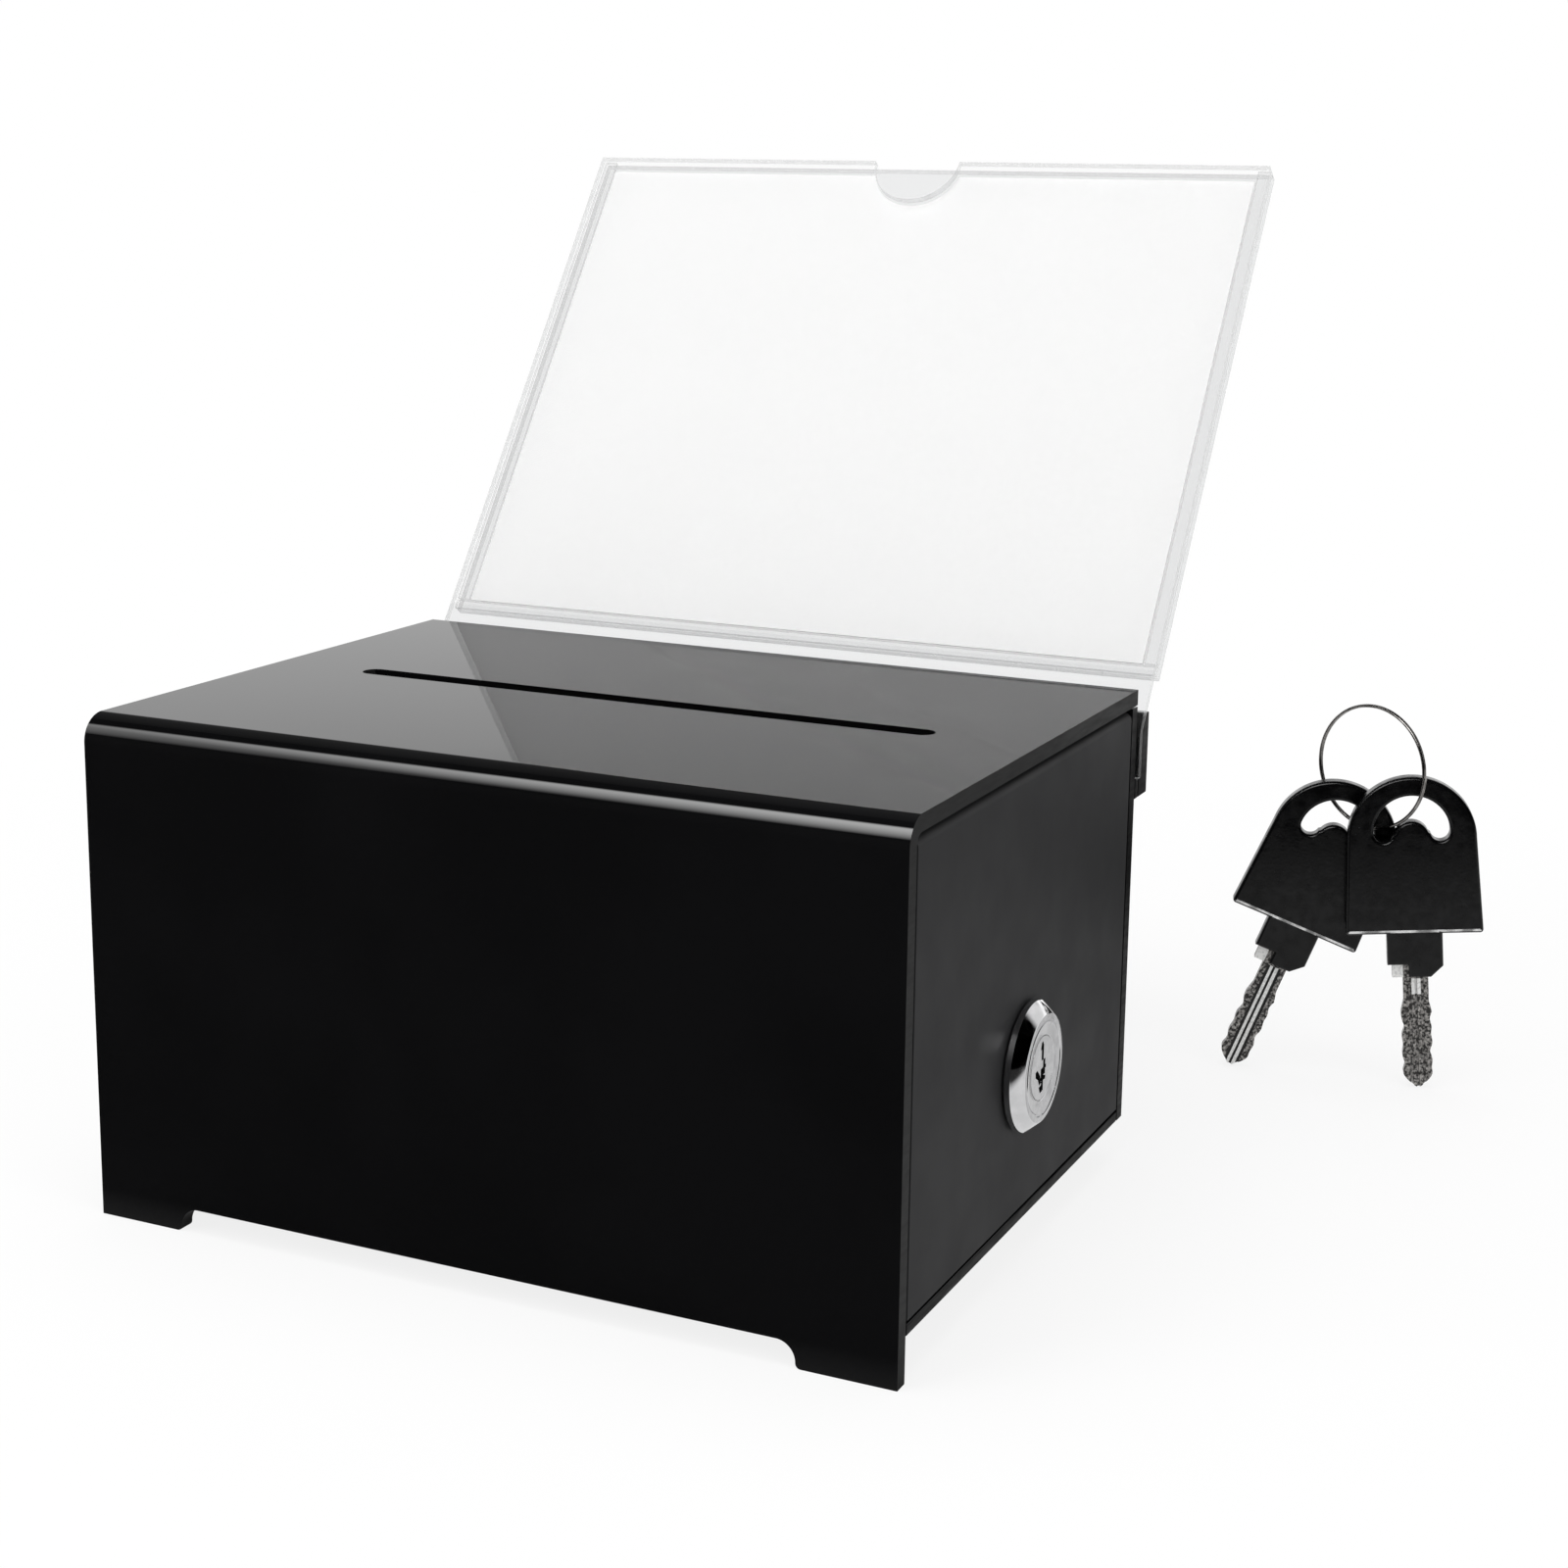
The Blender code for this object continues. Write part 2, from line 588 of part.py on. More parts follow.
def make_cam_screw(material):
    """The slotted screw that holds the cam and its washer on the plug."""
    outer = SCREW_OUTER - HALF_WIDTH
    inner = outer - SCREW_HEAD_HEIGHT
    head = ring_points(SCREW_HEAD_RADIUS, SMALL_ROUND_STEPS)
    screw = extrude_outline("cam_screw", head, inner, outer, "X", material, SMOOTH_DEGREES)
    shank = ring_points(SCREW_SHANK_RADIUS, SMALL_ROUND_STEPS)
    reach = outer + SCREW_SHANK_LENGTH
    cut_away(screw, extrude_outline("join_shank", shank, inner + SCREW_SLOT_DEPTH, reach, "X"), "UNION")
    far, half = SCREW_HEAD_RADIUS + OVERRUN, SCREW_SLOT_WIDTH / 2
    outline = rectangle(-far, far, -half, half)
    low, high = inner - OVERRUN, inner + SCREW_SLOT_DEPTH
    return cut_away(screw, extrude_outline("cut_screw_slot", outline, low, high, "X"))


def make_bracket(material):
    """The bar behind the box and its spacer: together a slot that the sign's tongue drops into."""
    outer = BRACKET_INNER + BRACKET_THICKNESS
    profile = [
        (BRACKET_INNER, BRACKET_LOW),
        (outer, BRACKET_LOW),
        (outer, BRACKET_TOP),
        (BRACKET_INNER + BRACKET_CHAMFER_WIDTH, BRACKET_TOP),
        (BRACKET_INNER, BRACKET_TOP - BRACKET_CHAMFER_HEIGHT),
    ]
    plate = extrude_outline("sign_bracket_plate", profile, -HALF_WIDTH, HALF_WIDTH, "X", material)
    gap = rectangle(
        BOX_DEPTH + SEAM, BRACKET_INNER - SEAM, BRACKET_LOW, BRACKET_LOW + BRACKET_SPACER_HEIGHT
    )
    spacer = extrude_outline("sign_bracket_spacer", gap, -HALF_WIDTH, HALF_WIDTH, "X", material)
    return [plate, spacer]


def make_sign_front_sheet(material):
    """The clear front sheet: its tongue stands in the bracket, then it bends back to its lean."""
    centre = (SIGN_BEND_Y, SIGN_BEND_Z)
    top_front = SIGN_FOOT + SIGN_HEIGHT * SIGN_UP
    top_back = top_front + SIGN_SHEET * SIGN_BACKWARD
    profile = [(TONGUE_BACK, TONGUE_LOW), (TONGUE_FRONT, TONGUE_LOW)]
    profile += arc(centre, SIGN_FRONT_RADIUS, 180, 180 - SIGN_LEAN_DEGREES, BEND_STEPS)
    profile += [(top_front.y, top_front.z), (top_back.y, top_back.z)]
    profile += arc(centre, SIGN_BACK_RADIUS, 180 - SIGN_LEAN_DEGREES, 180, BEND_STEPS)
    half = SIGN_WIDTH / 2
    sheet = extrude_outline("sign_front_sheet", profile, -half, half, "X", material, SMOOTH_DEGREES)
    outline = ring_points(THUMB_RADIUS, ROUND_STEPS, (0, SIGN_HEIGHT))
    notch = extrude_outline("cut_thumb_notch", outline, -OVERRUN, SIGN_SHEET + OVERRUN, "Y")
    cut_away(sheet, notch)
    notch.location = SIGN_FOOT
    notch.rotation_euler = (-LEAN, 0, 0)
    return sheet


def make_sign_pocket(materials):
    """The back sheet and the three thin strips that space it from the front sheet."""
    half = SIGN_WIDTH / 2
    strip = SIGN_SPACER_WIDTH
    front = SIGN_SHEET + SIGN_GLUE_GAP
    back = front + SIGN_SPACER_THICKNESS
    sheet_front = back + SIGN_GLUE_GAP
    sheet = extrude_outline(
        "sign_back_sheet",
        rectangle(-half, half, 0, SIGN_HEIGHT),
        sheet_front,
        sheet_front + SIGN_SHEET,
        "Y",
        materials["clear"],
    )
    strips = (
        ("sign_side_spacer_left", -half, strip - half, SIGN_SPACER_FOOT + SEAM, SIGN_HEIGHT),
        ("sign_side_spacer_right", half - strip, half, SIGN_SPACER_FOOT + SEAM, SIGN_HEIGHT),
        ("sign_bottom_spacer", -half, half, 0, SIGN_SPACER_FOOT),
    )
    pieces = [sheet]
    for name, low_x, high_x, low_z, high_z in strips:
        outline = rectangle(low_x, high_x, low_z, high_z)
        pieces.append(extrude_outline(name, outline, front, back, "Y", materials["clear"]))
    return pieces


def make_card(material):
    """The blank card in the pocket, notched where the thumb notch is."""
    half = SIGN_WIDTH / 2 - SIGN_SPACER_WIDTH - SEAM
    low = SIGN_SPACER_FOOT + SEAM
    high = SIGN_HEIGHT - CARD_DROP
    front = SIGN_SHEET + (POCKET_DEPTH - CARD_THICKNESS) / 2
    outline = rectangle(-half, half, low, high)
    card = extrude_outline("insert_card", outline, front, front + CARD_THICKNESS, "Y", material)
    notch = ring_points(THUMB_RADIUS + CARD_NOTCH_EXTRA, ROUND_STEPS, (0, SIGN_HEIGHT))
    cutter = extrude_outline("cut_card_notch", notch, front - OVERRUN, front + OVERRUN, "Y")
    return cut_away(card, cutter)


def bow_outline():
    """The plastic bow with its shoulder: a flat foot, near upright sides and a round top."""
    foot = BOW_FOOT_WIDTH / 2
    neck = SHOULDER_WIDTH / 2
    points = [(-neck, BLADE_LENGTH), (neck, BLADE_LENGTH), (neck, BOW_FOOT)]
    points += arc((foot - BOW_CORNER, BOW_FOOT + BOW_CORNER), BOW_CORNER, -90, 0, CORNER_STEPS)
    points += arc((0, BOW_CENTRE), BOW_RADIUS, 0, 180, ROUND_STEPS // 2)
    points += arc((BOW_CORNER - foot, BOW_FOOT + BOW_CORNER), BOW_CORNER, 180, 270, CORNER_STEPS)
    points += [(-neck, BOW_FOOT)]
    return points


def bow_hole_outline():
    """The crescent hole: a wide arch above, a round lobe at each end and a hump between them."""
    lobe_x = BOW_HOLE_RADIUS - BOW_LOBE_RADIUS
    hump_z = HOLE_CENTRE - BOW_HUMP_DROP
    points = arc((0, HOLE_CENTRE), BOW_HOLE_RADIUS, 0, 180, SMALL_ROUND_STEPS)
    points += arc((-lobe_x, HOLE_CENTRE), BOW_LOBE_RADIUS, 180, 360, CORNER_STEPS)[1:-1]
    end = BOW_HUMP_END_DEGREES
    points += arc((0, hump_z), BOW_HUMP_RADIUS, 180 - end, end, SMALL_ROUND_STEPS // 2)
    points += arc((lobe_x, HOLE_CENTRE), BOW_LOBE_RADIUS, 180, 360, CORNER_STEPS)[1:-1]
    return points


def blade_outline():
    """The metal blade: a tang in the bow, cuts along both edges and a narrowed tip."""
    half = BLADE_WIDTH / 2
    tip = BLADE_TIP_WIDTH / 2
    lead = half - tip
    right = [(tip, 0), (half, lead)]
    length = BLADE_LENGTH - lead
    reach = length * BLADE_CUT_HALF_LENGTH_SHARE
    flat = reach * BLADE_CUT_FLAT_SHARE
    for place, depth in zip(BLADE_CUT_PLACE_SHARES, BLADE_CUT_DEPTH_SHARES):
        middle = lead + length * place
        bottom = half - BLADE_CUT_DEPTH * depth
        right += [(half, middle - reach), (bottom, middle - flat), (bottom, middle + flat)]
        right += [(half, middle + reach)]
    right.append((half, BLADE_LENGTH + BLADE_TANG))
    left = [(-x, z) for x, z in reversed(right)]
    return right + left


def make_key(letter, materials):
    """One key: a nickel blade with grooves, and a plastic bow moulded over its tang."""
    bow_half = BOW_THICKNESS / 2
    bow = extrude_outline(
        f"key_{letter}_bow", bow_outline(), -bow_half, bow_half, "Y", materials["bow"], SMOOTH_DEGREES
    )
    hole = extrude_outline(
        f"cut_key_{letter}_hole", bow_hole_outline(), -bow_half - OVERRUN, bow_half + OVERRUN, "Y"
    )
    cut_away(bow, hole)
    half_x = BLADE_WIDTH / 2 + TANG_CLEARANCE
    half_y = BLADE_THICKNESS / 2 + TANG_CLEARANCE
    top = BLADE_LENGTH + BLADE_TANG + TANG_CLEARANCE
    pocket = rectangle(-half_x, half_x, BLADE_LENGTH - OVERRUN, top)
    cut_away(bow, extrude_outline(f"cut_key_{letter}_tang", pocket, -half_y, half_y, "Y"))
    blade_half = BLADE_THICKNESS / 2
    blade = extrude_outline(
        f"key_{letter}_blade", blade_outline(), -blade_half, blade_half, "Y", materials["blade"]
    )
    for side, name in ((1, "back"), (-1, "front")):
        middle = side * BLADE_WIDTH * BLADE_GROOVE_SHIFT_SHARE
        low_x, high_x = middle - BLADE_GROOVE_WIDTH / 2, middle + BLADE_GROOVE_WIDTH / 2
        near, far = side * (blade_half - BLADE_GROOVE_DEPTH), side * (blade_half + OVERRUN)
        groove = rectangle(low_x, high_x, -OVERRUN, BLADE_LENGTH)
        cutter = extrude_outline(
            f"cut_key_{letter}_groove_{name}", groove, min(near, far), max(near, far), "Y"
        )
        cut_away(blade, cutter)
    return [bow, blade]


def make_key_ring(material):
    """The wire ring that joins the two keys."""
    mesh_data = bmesh.new()
    section = ring_points(RING_WIRE_RADIUS, WIRE_STEPS, (RING_RADIUS, 0))
    verts = [mesh_data.verts.new((x, y, 0)) for x, y in section]
    edges = [mesh_data.edges.new((a, b)) for a, b in zip(verts, verts[1:] + verts[:1])]
    bmesh.ops.spin(
        mesh_data,
        geom=verts + edges,
        cent=(0, 0, 0),
        axis=(0, 1, 0),
        angle=math.tau,
        steps=ROUND_STEPS,
        use_merge=True,
    )
    return link_mesh("key_ring", mesh_data, material, WIRE_SMOOTH_DEGREES)


def place_keys(materials, parent):
    """Stands the ring of keys beside the box, each key at its own tilt."""
    yaw = math.radians(KEY_SET_YAW_DEGREES)
    holder = make_empty("key_set", KEY_PLACE, parent)
    holder.rotation_euler = (0, 0, yaw)
    tip = BLADE_TIP_WIDTH / 2
    tilts = {"a": math.radians(KEY_A_TILT_DEGREES), "b": -math.radians(KEY_B_TILT_DEGREES)}
    shifts = {"a": (-KEY_A_SHIFT, KEY_A_DEPTH), "b": (0, -KEY_B_DEPTH)}
    for letter in ("a", "b"):
        lift = KEY_FLOOR_GAP + tip * math.sin(abs(tilts[letter]))
        shift_x, shift_y = shifts[letter]
        for piece in make_key(letter, materials):
            piece.parent = holder
            piece.location = (shift_x, shift_y, lift)
            piece.rotation_euler = (0, tilts[letter], 0)
    ring = make_key_ring(materials["steel"])
    ring.parent = holder
    ring.location = (-RING_SHIFT, 0, RING_HEIGHT)
    ring.rotation_euler = (0, 0, -math.radians(RING_YAW_DEGREES))


def move_origin_to_bottom_centre(root):
    """Shifts the assembly so that the origin is the bottom centre of its box."""
    bpy.context.view_layer.update()
    graph = bpy.context.evaluated_depsgraph_get()
    corners = []
    for item in bpy.data.objects:
        if item.type == "MESH" and not item.hide_render:
            shape = item.evaluated_get(graph)
            corners += [shape.matrix_world @ vertex.co for vertex in shape.data.vertices]
    low = Vector([min(corner[axis] for corner in corners) for axis in range(3)])
    high = Vector([max(corner[axis] for corner in corners) for axis in range(3)])
    middle = (low + high) / 2
    root.location = Vector((-middle.x, -middle.y, -low.z))


def build():
    """Models every piece and parents it to the body that carries it."""
    clear_scene()
    materials = make_materials()
    root = make_empty("box", Vector())
    door = make_empty("door_axis", DOOR_PLACE, root)
    core = make_empty("lock_axis", LOCK_PLACE, door, DOOR_PLACE)
    sign = make_empty("sign_slide", SIGN_PLACE, root)
    card = make_empty("card_slide", CARD_PLACE, sign, SIGN_PLACE)
    black, steel = materials["black"], materials["steel"]

    fixed = [make_front_top_sheet(black), make_back_wall(black), make_keeper(black)]
    fixed += make_fixed_walls(black) + make_bracket(black) + make_hinge_pins(steel)
    for piece in fixed:
        carry(piece, root, Vector())

    carry(make_side_door(black), door, DOOR_PLACE)
    washer_low = -SHEET - SEAM - WASHER_THICKNESS
    lock_washer_hole = BARREL_RADIUS + NUT_CLEARANCE
    lock_washer = make_washer(
        "lock_washer", WASHER_RADIUS, lock_washer_hole, washer_low, WASHER_THICKNESS, steel
    )
    for piece in (make_lock_housing(materials["chrome"]), make_nut(steel), lock_washer):
        carry(piece, door, DOOR_PLACE, LOCK_PLACE)

    cam_washer_low = CAM_WASHER_INNER - HALF_WIDTH
    cam_washer_hole = SCREW_SHANK_RADIUS + SCREW_CLEARANCE
    cam_washer = make_washer(
        "cam_washer", CAM_WASHER_RADIUS, cam_washer_hole, cam_washer_low, WASHER_THICKNESS, steel
    )
    plug = make_lock_plug(materials["chrome"])
    for piece in (plug, make_cam(steel), cam_washer, make_cam_screw(steel)):
        carry(piece, core, LOCK_PLACE, LOCK_PLACE)

    carry(make_sign_front_sheet(materials["clear"]), sign, SIGN_PLACE)
    for piece in make_sign_pocket(materials):
        carry(piece, sign, SIGN_PLACE, SIGN_FOOT, (-LEAN, 0, 0))
    carry(make_card(materials["card"]), card, CARD_PLACE, CARD_PLACE, (-LEAN, 0, 0))

    place_keys(materials, root)
    move_origin_to_bottom_centre(root)


build()
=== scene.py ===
"""Collection box: the finished surfaces of a black acrylic box, its lock, its sign holder and its keys."""
import math

import bmesh
import bpy
from bpy.props import FloatProperty, FloatVectorProperty, IntProperty, PointerProperty
from mathutils import Matrix, Vector


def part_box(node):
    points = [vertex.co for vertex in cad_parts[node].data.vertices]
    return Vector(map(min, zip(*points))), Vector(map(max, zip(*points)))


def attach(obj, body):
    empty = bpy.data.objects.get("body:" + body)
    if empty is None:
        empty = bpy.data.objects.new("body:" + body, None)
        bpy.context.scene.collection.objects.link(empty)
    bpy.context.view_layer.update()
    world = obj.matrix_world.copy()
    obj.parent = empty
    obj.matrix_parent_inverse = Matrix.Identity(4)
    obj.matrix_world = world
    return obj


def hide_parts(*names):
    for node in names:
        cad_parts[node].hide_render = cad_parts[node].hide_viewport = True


bl_info = {
    "name": "Collection Box",
    "version": (1, 0, 0),
    "blender": (4, 5, 0),
    "location": "View3D > Sidebar > Collection Box",
    "description": "Builds the finished pieces of an acrylic collection box around its packed frame",
    "category": "Object",
}

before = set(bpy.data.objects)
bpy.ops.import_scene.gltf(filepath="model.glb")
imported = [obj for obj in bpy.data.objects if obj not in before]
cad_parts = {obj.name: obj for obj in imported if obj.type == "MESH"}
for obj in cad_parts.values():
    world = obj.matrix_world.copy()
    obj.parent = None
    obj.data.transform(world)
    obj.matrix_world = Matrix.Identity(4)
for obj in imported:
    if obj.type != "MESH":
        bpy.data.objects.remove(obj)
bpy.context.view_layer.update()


def node_box(node):
    """The low and high corners of a frame node."""
    return [Vector(corner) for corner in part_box(node)]


# The box frame's zero: the middle of the front face, on the floor
SHEET_LOW, SHEET_HIGH = node_box("front_top_sheet")
ZERO = Vector(((SHEET_LOW.x + SHEET_HIGH.x) / 2, SHEET_LOW.y, SHEET_LOW.z))
WALL_LOW, WALL_HIGH = node_box("left_wall")
SHEET_THICKNESS = WALL_HIGH.x - WALL_LOW.x
DOOR_LOW, DOOR_HIGH = node_box("side_door")
LOCK_LOW, LOCK_HIGH = node_box("lock_housing")
PLUG_LOW, PLUG_HIGH = node_box("lock_plug")
RING_LOW, RING_HIGH = node_box("key_ring")

# Sizes that the frame's boxes don't hold, in metres
BEND_RADIUS = 0.005
SLOT_LENGTH = 0.1195
SLOT_WIDTH = 0.005
SLOT_CENTRE_Y = 0.059
FOOT_WIDTH = 0.018
ARCH_RISE = 0.00455
FOOT_TIP_RADIUS = 0.001
PIN_HOLE_RADIUS = 0.0009
SIGN_LEAN = math.radians(35.5)
SIGN_UP = Vector((0, math.sin(SIGN_LEAN), math.cos(SIGN_LEAN)))
SIGN_NODES = (
    "sign_front_sheet",
    "sign_back_sheet",
    "sign_side_spacer_left",
    "sign_side_spacer_right",
    "sign_bottom_spacer",
)
WALL_NODES = ("left_wall", "back_wall", "bottom_panel", "door_keeper", "sign_bracket_plate", "sign_bracket_spacer")
INNER_LOCK_BODIES = {
    "lock_nut": "door",
    "lock_washer": "door",
    "lock_cam": "lock_core",
    "cam_washer": "lock_core",
    "cam_screw": "lock_core",
}
OVERRUN = 0.002
MERGE = 1e-6
STEEL_EDGE = 0.00015

# How many faces each kind of round is drawn with
FOOT_TIP_STEPS = 10
FOOT_HOLLOW_STEPS = 16
SLOT_END_STEPS = 20
PIN_HOLE_STEPS = 24
BOW_CORNER_STEPS = 8
BOW_ARCH_STEPS = 72
HOLE_ARCH_STEPS = 48
LOBE_STEPS = 16
HUMP_STEPS = 20
BLADE_STEPS = 60
RING_STEPS = 180
EDGE_SEGMENTS = 2
BOW_EDGE_SEGMENTS = 4
RING_WIRE_ROUNDNESS = 3

# The angles up to which edges are shaded smooth, and over which they are rounded
SMOOTH_DEGREES = 35
SHEET_SMOOTH_DEGREES = 50
BLADE_SMOOTH_DEGREES = 30
BEZEL_SMOOTH_DEGREES = 28

# The share of a face's normal along an axis that makes the face straight, dished, nearly straight or
# sideways to it, and the share that it stays under where it lies across
STRAIGHT = 0.999
DISHED = 0.99
NEARLY_STRAIGHT = 0.9
SIDEWAYS = 0.6
ACROSS = 0.1

# The bezel's section: the rim's distances in front of the door, with what they take off its radius, the
# face's distances behind its front, with their radii, and the dish's, with what they add to the bore
BEZEL_RIM = ((0.0003, 0.0003), (0.0006, 0.0), (0.0016, 0.0), (0.0018, 0.0002))
BEZEL_FACE = ((0.0001, 0.0098), (0.0, 0.0096), (0.0, 0.0087), (0.00025, 0.0086), (0.00025, 0.0083), (0.0, 0.0082))
BEZEL_DISH = ((0.00028, 0.0001), (0.00034, 0.0))
BEZEL_FOOT = 0.0003
PLUG_CLEARANCE = 0.0001
PLUG_EDGE = 0.00012
BARREL_RADIUS = 0.008
BARREL_END_RADIUS = 0.0074
BARREL_FLAT = 0.0072
THREAD_ROOT = 0.0075
THREAD_MARGIN = 0.0004
FLAT_CUT_REACH = 0.011
FLAT_CUT_HALF_WIDTH = 0.01

# How the keys stand: each one's tip, tilt and depth in the set, and the blade's own sizes
KEY_SET_PLACE = Vector((0.1235, 0.1840, 0))
KEY_SET_YAW_DEGREES = 16.0
KEY_FLOOR_GAP = 0.0002
KEY_STANDS = {"a": (-0.03988, 0.00237, 21.0), "b": (0.0, -0.00344, -4.8)}
BLADE_HALF_WIDTH = 0.0032
BLADE_NECK_HALF_WIDTH = 0.0026
BLADE_BODY_TOP = 0.0165
BLADE_TAPER = 0.0025
BLADE_POINT_HALF_WIDTH = 0.0005
BLADE_POINT_LENGTH = 0.0036
BLADE_TIP_HALF_WIDTH = 0.00138
BLADE_LENGTH = 0.02438
BLADE_HALF_THICKNESS = 0.001
BLADE_TOP = 0.0305
BOW_FOOT = 0.03392
BOW_FOOT_HALF_WIDTH = 0.01415
BOW_HALF_THICKNESS = 0.00191
BOW_CORNER = 0.0007
# The band above the bow's foot where a highlight is painted, as heights from the foot
PAINTED_HIGHLIGHT_BAND = (0.0004, 0.00095)
BOW_RADIUS = 0.01325
BOW_CENTRE = 0.05459
HOLE_CENTRE = 0.05597
HOLE_RADIUS = 0.00784
LOBE_RADIUS = 0.00201
HUMP_RADIUS = 0.0036
HUMP_DROP = 0.00127
HUMP_END_DEGREES = 20
STOP_HALF_WIDTH = 0.0048
STOP_LOW = 0.0243
STOP_HIGH = 0.0274
STEM_HALF_WIDTH = 0.005775
STEM_NOTCH = (-0.0014, 0.0271)
STEM_CHAMFER = (0.0032, 0.0268)
CUT_HALF_LENGTH = 0.0013
LEFT_CUTS = ((0.0050, 0.0005), (0.0090, 0.0003), (0.0132, 0.0006))
RIGHT_CUTS = ((0.0042, 0.0003), (0.0078, 0.0006), (0.0118, 0.0003), (0.0150, 0.0005))
GROOVES = ((-0.0013, 0.0006), (0.0, 0.0005), (0.0012, 0.0006))
GROOVE_DEPTH = 0.0004
GROOVE_TOP = 0.0240
RIDGE_REACH = 0.0010
# The height from which the painted highlight on each blade's ridges starts
HIGHLIGHT_STARTS = {"a": 0.0, "b": 0.0205}

# The plug's keyway: its depth and reach, and the outlines of its side wards
KEYWAY_DEPTH = 0.0105
KEYWAY_REACH = 0.0051
KEYWAY_LIP = 0.0002
WARD_DEPTH = 0.0015
KEYWAY_WARDS_MM = (
    ((-3.4, -0.9), (-2.2, -1.6), (-1.4, -2.9), (-0.5, -2.6), (-1.0, -1.2), (-2.4, 0.2), (-3.5, 0.1)),
    ((-0.8, -2.2), (1.6, -2.5), (1.7, -1.8), (0.6, -1.5), (0.6, -0.7), (1.9, -0.4), (1.9, 0.3), (-0.8, -0.1)),
    ((-1.0, -4.4), (0.0, -4.4), (-0.2, -3.0), (-1.6, -3.2)),
    ((-1.1, 3.4), (0.4, 3.6), (0.3, 4.8), (-0.6, 4.8)),
)

# The split ring: how far the middle of its wire lies inside the node's edge, and its turns
RING_INSET = 0.0007
RING_TURNS = 2

# The camera, in the box frame
CAMERA_PLACE = Vector((0.2250, -0.3574, 0.1921))
CAMERA_TARGET = Vector((0.0313, 0.0570, 0.1001))
CAMERA_ROLL_DEGREES = 0.75
CAMERA_LENS_MM = 59.83
SENSOR_MM = 36.0
IMAGE_PIXELS = 1600
VIEW_CENTRE_ROW = 700

# The lamps, in the box frame: each one's place, size and energy, and the point that all are aimed at
LAMPS = (
    ("lamp_above", (-0.1, 0.0, 1.4), 1.0, 12.6),
    ("lamp_left", (-0.95, -1.08, 1.2), 0.95, 10.5),
    ("lamp_right", (1.0, -0.3, 0.75), 0.6, 2.6),
)
LAMP_AIM = Vector((0, 0.06, 0.05))

# The floor: where it fades to white, and in gloss where it turns from dark to pale, and both levels
FLOOR_SIZE = 6.0
FLOOR_CENTRE_Y = 0.06
FLOOR_FADE = (0.16, 0.4)
FLOOR_GLOSS_START = (-0.07, -0.04)
FLOOR_GLOSS = (0.03, 0.8)

# The reflector: its place, and where it fades towards the box, away from it and to the left
REFLECTOR_PLACE = Vector((-0.24, -0.46, 0.45))
REFLECTOR_NEAR_END = (0.29, 0.34)
REFLECTOR_FAR_RISE = (-0.34, 0.24)
REFLECTOR_ACROSS = (-0.2, 0.14)
REFLECTOR_LEFT_SHARE = 0.3

# The studio in gloss: over which part of a direction's Y, Z or X each change is spread, and its dark levels
BACKDROP_RISE = (-0.2, 0.3)
BACKDROP_TOP = (0.22, 0.34)
BACKDROP_RIGHT_END = (0.5, 0.7)
SIDE_RISE = (0.15, 0.35)
SIDE_BACK = (0.48, 0.62)
DARK_FRONT = 0.03
DARK_ABOVE = 0.06

